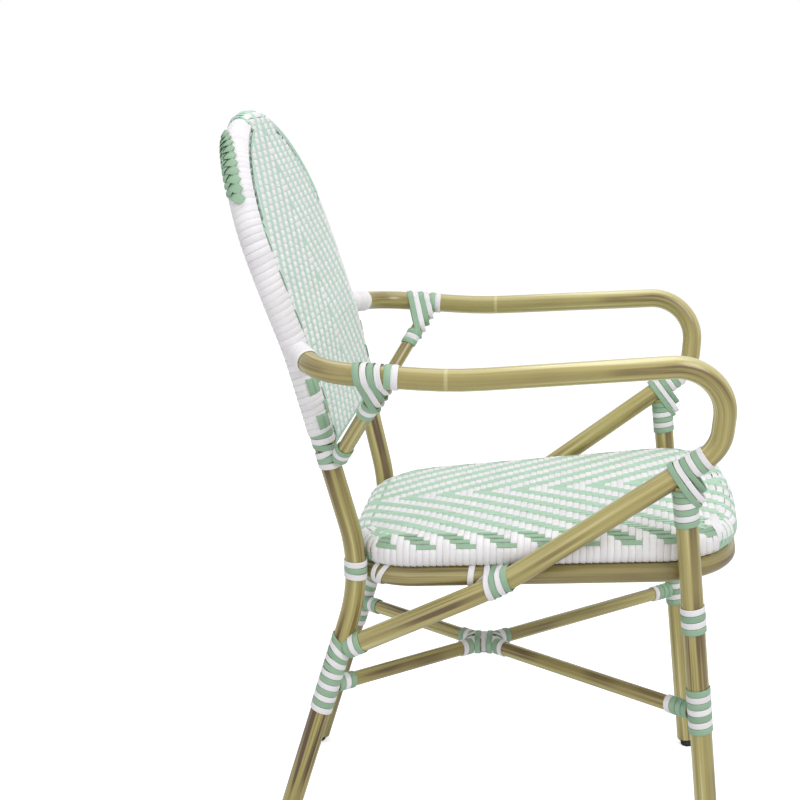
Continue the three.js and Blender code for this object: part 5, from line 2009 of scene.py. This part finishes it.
    def hang(
        self,
        edge: Edge,
        axis: int,
        pitch: float,
        width: float,
        levels: Sequence[float],
        tail: Sequence[float],
    ) -> list[Stop]:
        """List the stops of a strand down the rolled edge and on over the skirt.

        Args:
            edge: Outline point and outward direction.
            axis: 0 for a strand that runs across, 1 for one that runs front to back.
            pitch: Spacing of the strands that it crosses there.
            width: Its width.
            levels: Its level at each of those.
            tail: Distances of its further stops past the last of them.

        Returns:
            The stops, from the top down.
        """
        distances = [(step + 0.5) * pitch for step in range(len(levels))]
        distances += [len(levels) * pitch + more for more in tail]
        wide = width / abs(edge[1][axis])
        full = [*levels, *[self.tail_level] * len(tail)]
        return [(*self.rim_place(edge, down, axis), wide, level) for down, level in zip(distances, full)]

    def white_row(self, skin: Skin, row: int, y: float) -> None:
        """Weave one strand across the seat and down both sides.

        Args:
            skin: The mesh it goes into.
            row: Its number.
            y: Its depth.
        """
        width = self.white_width
        halves: list[list[Stop]] = []
        for sign in (-1, 1):
            edge = self.cross(1, y, sign)
            if edge is None:
                return
            steep = abs(edge[1].x)
            flat = abs(edge[0].x) - self.roll / max(steep, self.steepest)
            half: list[Stop] = []
            for column in range(self.columns):
                x = self.column_x(column + 0.5, y)
                if x <= flat - self.margin:
                    half.append((*self.top(sign * x, y), width, -green_level(row, column)))
            if steep > self.corner:
                levels = [self.skirt_level(row, step, y) for step in range(self.skirt_rows)]
                half += self.hang(edge, 0, self.green_pitch, width, levels, self.skirt_tail)
            else:
                half.append((*self.top(sign * flat, y, -self.tuck), width, -1.0))
            halves.append(half)
        strand = Strand(self.white_rise)
        strand.weave(halves[0][::-1] + halves[1])
        strand.lay(skin, row * ROW_MARK)

    def green_column(self, skin: Skin, column: int, sign: int, rows: dict[int, float]) -> None:
        """Weave one strand from the front edge to the rear edge.

        Args:
            skin: The mesh it goes into.
            column: Its number from the centre line.
            sign: Which half it lies in.
            rows: Depth of each white strand.
        """
        width = self.green_width
        place = sign * (column + 0.5)
        halves: list[list[Stop]] = []
        limits: list[float] = []
        for end, y in ((-1, self.front), (1, self.behind)):
            edge = None
            for _ in range(3):
                edge = self.cross(0, self.column_x(place, y), end) or edge
                if edge is None:
                    return
                y = edge[0].y
            steep = abs(edge[1].y)
            flat = y - end * self.roll / max(steep, self.steepest)
            limits.append(flat)
            if steep > self.corner:
                levels = [green_level(self.end_row(end, step, rows), column) for step in range(self.end_rows)]
                halves.append(self.hang(edge, 1, self.white_pitch, width, levels, self.end_tail))
            else:
                halves.append([(*self.top(self.column_x(place, flat), flat, -self.tuck), width, -1.0)])
        middle: list[Stop] = []
        for row, y in rows.items():
            if limits[0] + self.margin < y < limits[1] - self.margin:
                middle.append((*self.top(self.column_x(place, y), y), width, green_level(row, column)))
        stops = halves[1][::-1] + middle + halves[0]
        if len(stops) > 2:
            strand = Strand(self.green_rise)
            strand.weave(stops)
            strand.lay(skin, column * COLUMN_MARK + sign * HALF_MARK)

    @staticmethod
    def end_row(end: int, step: int, rows: dict[int, float]) -> int:
        """Number of a white strand on the roll of the front or rear edge."""
        return max(rows) + 1 + step if end < 0 else min(rows) - 1 - step

    def lay_tucked(self, skin: Skin, rise: float, stops: list[Stop], mark: float) -> None:
        """Lay a strand along the rolled edge with both its ends tucked in.

        Args:
            skin: The mesh it goes into.
            rise: How far it rises and dips.
            stops: Its stops.
            mark: A number of its own.
        """
        for i in (0, -1):
            point, facing, width, level = stops[i]
            stops[i] = (point - facing * self.edge_tuck, facing, width, level)
        strand = Strand(rise)
        strand.weave(stops)
        strand.lay(skin, mark)

    def green_skirt(self, skin: Skin, sign: int, step: int) -> None:
        """Weave one strand along a side's roll, from corner to corner.

        Args:
            skin: The mesh it goes into.
            sign: Which side.
            step: Which strand, counted down from the top.
        """
        down = (step + 0.5) * self.green_pitch
        first = math.ceil((self.chevron_point - self.behind) / self.white_pitch)
        last = math.floor((self.chevron_point - self.front - self.margin) / self.white_pitch)
        stops: list[Stop] = []
        for row in range(first, last + 1):
            y = self.chevron_point - row * self.white_pitch
            edge = self.cross(1, y, sign)
            if edge is not None and abs(edge[1].x) > self.corner - self.corner_more:
                stops.append((*self.rim_place(edge, down), self.green_width, -self.skirt_level(row, step, y)))
        self.lay_tucked(skin, self.green_rise, stops, step * ROLL_MARK + sign * SIDE_MARK)

    def white_end(self, skin: Skin, end: int, step: int, rows: dict[int, float]) -> None:
        """Weave one strand along the roll of the front or rear edge.

        Args:
            skin: The mesh it goes into.
            end: -1 for the front, 1 for the rear.
            step: Which strand, counted down from the top.
            rows: Depth of each white strand.
        """
        down = (step + 0.5) * self.white_pitch
        edge_y = self.front if end < 0 else self.behind
        row = self.end_row(end, step, rows)
        stops: list[Stop] = []
        for column in range(-self.columns, self.columns):
            edge = self.cross(0, self.column_x(column + 0.5, edge_y), end)
            if edge is not None and abs(edge[1].y) > self.corner - self.corner_more:
                level = -green_level(row, max(column, -column - 1))
                stops.append((*self.rim_place(edge, down), self.white_width, level))
        self.lay_tucked(skin, self.white_rise, stops, step * ROLL_MARK + end * END_MARK)

    def fan_corners(self, skin: Skin) -> None:
        """Fan white strands down round the corners, over the ends of the woven ones.

        Args:
            skin: The mesh it goes into.
        """
        low, high = self.fan_slant
        gone = self.fan_pitch
        for (before, _), (spot, out) in zip(self.edge, self.edge[1:]):
            gone += (spot - before).length
            if gone < self.fan_pitch or not low < abs(out.x) < high:
                continue
            gone = 0.0
            strand = Strand(self.white_rise)
            strand.add(*self.rim_place((spot, out), self.fan_start), self.fan_width, -self.fan_dip)
            for drop in self.fan_drops:
                strand.add(*self.rim_place((spot, out), drop), self.fan_pitch, 1.0)
            strand.lay(skin, spot.x * CORNER_MARK + spot.y)

    def build_core(self) -> None:
        """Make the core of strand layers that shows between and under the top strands."""
        rings: list[Ring] = []
        picked = self.edge[:: self.core_skip]
        marks = [d for d in self.run if d > self.margin][::2]
        for distance in [self.run[-1], *reversed(marks), 0.0]:
            places = [self.rim_place(edge, distance) for edge in picked]
            rings.append([point - facing * self.core_depth for point, facing in places])
        rim = rings[-1]
        centre = sum(rim, Vector()) / len(rim)
        for share in self.core_rings:
            inner = [centre.lerp(point, share) for point in rim]
            rings.append([self.top(p.x, p.y, -self.core_depth)[0] for p in inner])
        skin = Skin()
        skin.loft(rings, [[Vector((p.x, CORE_MARK, p.y)) for p in ring] for ring in rings])
        skin.piece("seat_core", WHITE, "seat_weave")


# Bindings


@dataclass
class Bindings:
    """Strand bindings at every joint of the frame."""

    frame: Frame
    arm_tie_turns: int = 6
    arm_tie_pitch: float = 0.0079
    arm_tie_from: float = 0.0315
    arm_tie_slant: float = 1.5
    arm_tie_held: float = 0.005
    strut_bands: int = 3
    strut_lean: float = 0.004
    hand_turns: int = 6
    hand_from: float = -0.308
    hand_pitch: float = 0.0073
    hand_grip: Triple = (0.0018, 0.0006, -0.0045)
    leg_top_from: float = 0.4745
    leg_top_tones: str = "GWGWGG"
    root_middle: float = 0.029
    root_bands: int = 5
    ring_turns: int = 4
    ring_length: float = 0.031
    ring_behind: float = 0.008
    ring_straps: tuple[Spot, ...] = ((0.036, 0.004), (0.018, 0.03))
    knee_height: float = 0.379
    knee_bands: int = 3
    knee_probe: float = 0.01
    knee_straps: tuple[Spot, ...] = ((0.024, 0.014), (0.0145, 0.003))
    rear_height: float = 0.238
    rear_bands: int = 12
    rear_lean: Triple = (0.017, 0.003, 0.002)
    foot_above: float = 0.015
    foot_leans: tuple[float, ...] = (0.002, 0.002, 0.007, -0.006, -0.004, 0.002)
    leg_band_height: float = 0.358
    leg_bands: int = 4
    stretcher_height: float = 0.246
    stretcher_bands: int = 7
    stretcher_tones: str = "GGGW"
    stretcher_lean: float = 0.002
    collar_bands: int = 3
    lashing_arm: int = 3
    lashing_gap: float = 0.014

    def build(self) -> None:
        """Bind both sides and lash the stretchers."""
        for side in Side:
            self.bind_arm(side)
            self.bind_arm_root(side)
            self.bind_back_foot(side)
            self.bind_knee(side)
            self.bind_ring(side)
            self.bind_leg_top(side)
            self.bind_rear_leg(side)
            self.bind_front_leg(side)
        self.lash_stretchers()

    def collar(self, winder: Winder, route: Route, radius: float, ending: bool) -> None:
        """Wrap a tube where it leaves or meets a bigger one.

        Args:
            winder: What lays the strand.
            route: The tube's route.
            radius: Its radius.
            ending: Whether it is the route's end.
        """
        reach = self.frame.radius + self.collar_bands * winder.pitch / 2.0
        middle = route.total - reach if ending else reach
        winder.wrap(route, middle, alternate(Tone.GREEN, self.collar_bands), radius)

    def bind_arm(self, side: Side) -> None:
        """Tie the strut under the arm with one strand pulled tight round both tubes.

        Args:
            side: Which side of the chair.
        """
        frame = self.frame
        winder = Winder(pitch=self.arm_tie_pitch, cover=1.0)
        arm, strut = frame.arms[side], frame.struts[side]
        joint = frame.arm_distance(side, frame.strut[0] + frame.shift)
        for i, tone in enumerate(alternate(Tone.GREEN, self.arm_tie_turns)):
            reach = self.arm_tie_from - self.arm_tie_pitch * i
            if reach < self.arm_tie_held:
                winder.band(arm, joint - reach, frame.radius, tone)
                continue
            top = section(arm, joint - reach, frame.radius)
            foot = section(strut, reach * self.arm_tie_slant, frame.brace_radius)
            normal = (top[0] - foot[0]).normalized().cross(top[1].cross(foot[1])).normalized()
            winder.tie(tone, [top, foot], top[0], normal)
        below = self.arm_tie_from * self.arm_tie_slant + winder.pitch
        for i, tone in enumerate(alternate(Tone.GREEN, self.strut_bands)):
            winder.band(strut, below + i * winder.pitch, frame.brace_radius, tone, self.strut_lean)
        winder.pieces(f"arm_binding_{side.word}", f"arm_binding_{side.word}")

    def bind_arm_root(self, side: Side) -> None:
        """Wrap the arm where it leaves the rim.

        Args:
            side: Which side of the chair.
        """
        winder = Winder()
        tones = [Tone.WHITE] * self.root_bands
        winder.wrap(self.frame.arms[side], self.root_middle, tones, self.frame.radius)
        winder.pieces(f"arm_root_{side.word}", f"arm_root_binding_{side.word}")

    def bind_back_foot(self, side: Side) -> None:
        """Wrap the rear tube and the strut's end under the rail.

        Args:
            side: Which side of the chair.
        """
        frame = self.frame
        winder = Winder()
        place = frame.rear_distance(frame.rail_height + self.foot_above, side)
        for tone, lean in zip(alternate(Tone.GREEN, len(self.foot_leans)), self.foot_leans):
            winder.band(frame.rear, place, frame.radius, tone, -side.value * lean)
            place -= side.value * winder.pitch
        self.collar(winder, frame.struts[side], frame.brace_radius, True)
        winder.pieces(f"back_foot_{side.word}", f"back_foot_binding_{side.word}")

    def bind_knee(self, side: Side) -> None:
        """Wrap the knee of the rear leg and strap the seat ring to it.

        Args:
            side: Which side of the chair.
        """
        frame = self.frame
        winder = Winder()
        middle = frame.rear_distance(self.knee_height, side)
        winder.wrap(frame.rear, middle, alternate(Tone.WHITE, self.knee_bands), frame.radius)
        met = frame.ring.nearest(frame.rear.at(middle)[0])
        forward = 1.0 if frame.ring.at(met + self.knee_probe)[0].y < frame.ring.at(met)[0].y else -1.0
        for reach, lean in self.knee_straps:
            winder.band(frame.ring, met + forward * reach, frame.radius, Tone.WHITE, forward * lean)
        winder.pieces(f"knee_{side.word}", f"knee_binding_{side.word}")

    def bind_ring(self, side: Side) -> None:
        """Tie the brace to the seat ring where the two pass.

        Args:
            side: Which side of the chair.
        """
        frame = self.frame
        winder = Winder()
        arm, ring = frame.arms[side], frame.ring
        passing = frame.brace_distance(side, frame.brace_pass()) + self.ring_behind
        place, run, _, _ = arm.at(passing)
        met = ring.nearest(place)
        ring_run = ring.at(met)[1]
        forward = 1.0 if ring_run.dot(run) > 0.0 else -1.0
        normal = (run + ring_run * forward).normalized()
        for i, tone in enumerate(alternate(Tone.GREEN, self.ring_turns)):
            step = ((i + 0.5) / self.ring_turns - 0.5) * self.ring_length
            held = section(arm, passing + step, frame.radius)
            under = section(ring, met + forward * step, frame.radius)
            winder.tie(tone, [held, under], place + normal * step, normal)
        for reach, lean in self.ring_straps:
            winder.band(ring, met + forward * reach, frame.radius, Tone.WHITE, -forward * lean)
        winder.pieces(f"ring_binding_{side.word}", f"ring_binding_{side.word}")

    def bind_leg_top(self, side: Side) -> None:
        """Tie the brace down on the front leg's top and wrap the leg under it.

        Args:
            side: Which side of the chair.
        """
        frame = self.frame
        winder = Winder(pitch=self.hand_pitch)
        arm, leg = frame.arms[side], frame.legs[side]
        start = frame.brace_distance(side, self.hand_from + frame.shift)
        top = leg.points[-1]
        leg_run = leg.at(leg.total)[1]
        for i, tone in enumerate(alternate(Tone.GREEN, self.hand_turns)):
            held, run, _, _ = arm.at(start - i * winder.pitch)
            reach = (held - top).dot(run) / leg_run.dot(run)
            foot = top + leg_run * min(reach, 0.0)
            sections = [(held, run, frame.radius)]
            if i < len(self.hand_grip):
                slide = (held - foot).dot(run)
                sections.append((foot + run * slide, leg_run, frame.radius + self.hand_grip[i]))
            winder.tie(tone, sections, held, run)
        for i, tone in enumerate(spelled(self.leg_top_tones)):
            middle = leg.where(lambda p: p.z, self.leg_top_from + i * winder.pitch)
            winder.wrap(leg, middle, [tone], frame.radius)
        winder.pieces(f"leg_top_{side.word}", f"leg_top_binding_{side.word}")

    def bind_rear_leg(self, side: Side) -> None:
        """Wrap the rear leg where the brace and the stretcher end.

        Args:
            side: Which side of the chair.
        """
        frame = self.frame
        winder = Winder()
        most, fall, least = self.rear_lean
        place = frame.rear_distance(self.rear_height, side)
        place += side.value * (self.rear_bands - 1) * winder.pitch / 2.0
        for i, tone in enumerate(alternate(Tone.GREEN, self.rear_bands)):
            winder.band(frame.rear, place, frame.radius, tone, -side.value * max(most - i * fall, least))
            place -= side.value * winder.pitch
        self.collar(winder, frame.arms[side], frame.radius, True)
        halved = side is Side.LEFT
        self.collar(winder, frame.halved if halved else frame.whole, frame.brace_radius, halved)
        winder.pieces(f"rear_leg_binding_{side.word}", f"rear_leg_binding_{side.word}")

    def bind_front_leg(self, side: Side) -> None:
        """Wrap the front leg under the seat and at the stretcher.

        Args:
            side: Which side of the chair.
        """
        frame = self.frame
        leg = frame.legs[side]
        band, winder = Winder(), Winder()
        middle = leg.where(lambda p: p.z, self.leg_band_height)
        band.wrap(leg, middle, alternate(Tone.GREEN, self.leg_bands), frame.radius)
        band.pieces(f"leg_band_{side.word}", f"leg_band_{side.word}")
        middle = leg.where(lambda p: p.z, self.stretcher_height)
        winder.wrap(leg, middle, alternate(Tone.GREEN, self.stretcher_bands), frame.radius)
        route = frame.halved if side is Side.RIGHT else frame.whole
        for i, tone in enumerate(spelled(self.stretcher_tones)):
            reach = frame.radius + (i + 0.5) * winder.pitch
            place = reach if side is Side.RIGHT else route.total - reach
            winder.band(route, place, frame.brace_radius, tone, self.stretcher_lean)
        winder.pieces(f"stretcher_binding_{side.word}", f"stretcher_binding_{side.word}")

    def lash_stretchers(self) -> None:
        """Lash the stretchers where they cross: a knot of crossed turns and bands out along each tube."""
        frame = self.frame
        winder = Winder()
        runs = []
        for route in (frame.whole, frame.halved):
            met = route.nearest(frame.meet)
            runs.append(route.at(met)[1])
            reach = self.lashing_gap + self.lashing_arm * winder.pitch / 2.0
            for sign, first in ((-1.0, Tone.WHITE), (1.0, Tone.GREEN)):
                winder.wrap(route, met + sign * reach, alternate(first, self.lashing_arm), frame.brace_radius)
        for turn, tone, lift in ((1.0, Tone.WHITE, 0.0), (-1.0, Tone.GREEN, winder.thickness)):
            normal = (runs[0] + runs[1] * turn).normalized()
            sections = [(frame.meet, run, frame.brace_radius + lift) for run in runs]
            for n in (-1.0, 0.0, 1.0):
                origin = frame.meet + normal * n * winder.pitch
                winder.tie(tone if n else tone.other, sections, origin, normal)
        winder.pieces("lashing", "stretcher_lashing")


# Small parts and studio


@dataclass
class SmallParts:
    """Bars under the seat, screws and glides."""

    frame: Frame
    nodes: dict[str, bpy.types.Object]
    bars: tuple[tuple[str, float], ...] = (("front", -0.262), ("rear", -0.062))

    def build(self) -> None:
        """Make the bars round and finish the parts carried over from the CAD."""
        frame = self.frame
        lift = frame.radius - frame.brace_radius
        for word, depth in self.bars:
            y = depth + frame.shift
            half = frame.ring_side(y)
            height = frame.seat_plane(y) + lift
            route = Route([Vector((-half, y, height)), Vector((half, y, height))])
            trim = (frame.radius, frame.radius)
            frame.make(f"seat_bar_{word}_tube", LACQUER, f"seat_bar_{word}", route, frame.brace_radius, trim)
        for name, node in self.nodes.items():
            if "glide" in name:
                self.dress(node, PLASTIC)
            elif "screw" in name:
                self.dress(node, ZINC)

    @staticmethod
    def dress(node: bpy.types.Object, finish: Finish) -> None:
        """Give a carried-over part its finish."""
        node.data.materials.clear()
        node.data.materials.append(finish.material())


@dataclass
class Studio:
    """Pale floor, soft lamps and the camera of the photo."""

    eye: Triple = (-1.7789, -0.10206, 0.9715)
    yaw: float = math.radians(6.75)
    pitch: float = math.radians(-13.06)
    lens: float = 64.49
    floor_size: float = 60.0
    floor_shades: tuple[Quad, Quad] = ((0.8, 0.8, 0.8, 1.0), (0.82, 0.82, 0.82, 1.0))
    floor_mottle: float = 3.0
    floor_rough: float = 0.9
    floor_glow: float = 0.575
    sky: float = 0.55
    sky_seen: float = 1.0
    lamps: tuple[tuple[str, Triple, float, float], ...] = (
        ("key", (-1.9, -1.7, 2.6), 42.0, 1.6),
        ("fill", (-2.2, 1.9, 1.5), 14.0, 2.2),
        ("top", (0.4, 0.2, 3.0), 26.0, 2.4),
    )
    target: Triple = (0.0, 0.0, 0.45)

    def build(self) -> None:
        """Set the stage."""
        self.lay_floor()
        self.light_world()
        for name, place, power, size in self.lamps:
            self.hang_lamp(name, Vector(place), power, size)
        self.aim_camera()

    def lay_floor(self) -> None:
        """Lay a pale floor that shows as white to the camera outside the shadow."""
        mesh = bmesh.new()
        bmesh.ops.create_grid(mesh, x_segments=1, y_segments=1, size=self.floor_size / 2.0)
        data = bpy.data.meshes.new("floor")
        mesh.to_mesh(data)
        mesh.free()
        material = bpy.data.materials.new("Pale floor")
        material.use_nodes = True
        tree = material.node_tree
        place = tree.nodes.new("ShaderNodeTexCoord").outputs["Object"]
        mottle = tree.nodes.new("ShaderNodeTexNoise")
        fill(tree, mottle, Scale=self.floor_mottle, Vector=place)
        shade = Finish.mix(tree, mottle.outputs["Fac"], *self.floor_shades)
        ray = tree.nodes.new("ShaderNodeLightPath").outputs["Is Camera Ray"]
        glow = Effects.math(tree, "MULTIPLY", ray, self.floor_glow)
        shader = tree.nodes["Principled BSDF"]
        fill(tree, shader, Base_Color=shade, Roughness=self.floor_rough, Specular_IOR_Level=0.0)
        fill(tree, shader, Emission_Color=WHOLE_WHITE, Emission_Strength=glow)
        data.materials.append(material)
        floor = bpy.data.objects.new("floor", data)
        bpy.context.scene.collection.objects.link(floor)

    def light_world(self) -> None:
        """Make the surroundings white where they are seen and moderate where they light."""
        world = bpy.data.worlds.new("Surroundings")
        bpy.context.scene.world = world
        world.use_nodes = True
        tree = world.node_tree
        ray = tree.nodes.new("ShaderNodeLightPath").outputs
        seen = Effects.math(tree, "MAXIMUM", ray["Is Camera Ray"], ray["Is Glossy Ray"])
        seen = Effects.math(tree, "MAXIMUM", seen, ray["Is Transmission Ray"])
        strength = Effects.scaled(tree, seen, rate=self.sky_seen - self.sky, base=self.sky)
        fill(tree, tree.nodes["Background"], Color=WHOLE_WHITE, Strength=strength)

    def hang_lamp(self, name: str, place: Vector, power: float, size: float) -> None:
        """Hang a soft lamp that looks at the chair.

        Args:
            name: Its name.
            place: Where it hangs.
            power: Its power in watts.
            size: Its size.
        """
        data = bpy.data.lights.new(name, "AREA")
        data.energy = power
        data.size = size
        lamp = bpy.data.objects.new(name, data)
        lamp.location = place
        lamp.rotation_euler = (Vector(self.target) - place).to_track_quat("-Z", "Y").to_euler()
        bpy.context.scene.collection.objects.link(lamp)

    def aim_camera(self) -> None:
        """Stand the camera where the photo was taken."""
        data = bpy.data.cameras.new("camera")
        data.lens = self.lens
        camera = bpy.data.objects.new("camera", data)
        camera.location = self.eye
        flat = math.cos(self.pitch)
        ahead = Vector((flat * math.cos(self.yaw), flat * math.sin(self.yaw), math.sin(self.pitch)))
        camera.rotation_euler = ahead.to_track_quat("-Z", "Y").to_euler()
        bpy.context.scene.collection.objects.link(camera)
        bpy.context.scene.camera = camera


def main() -> None:
    """Build the chair and its studio in order."""
    logging.basicConfig(level=logging.INFO, format="%(name)s: %(message)s")
    bpy.context.scene.view_settings.view_transform = "Standard"
    tubes = Frame()
    tubes.build()
    BackWeave(tubes).build()
    SeatWeave(tubes).build()
    Bindings(tubes).build()
    SmallParts(tubes, frame["nodes"]).build()
    Studio().build()


if __name__ == "__main__":
    main()
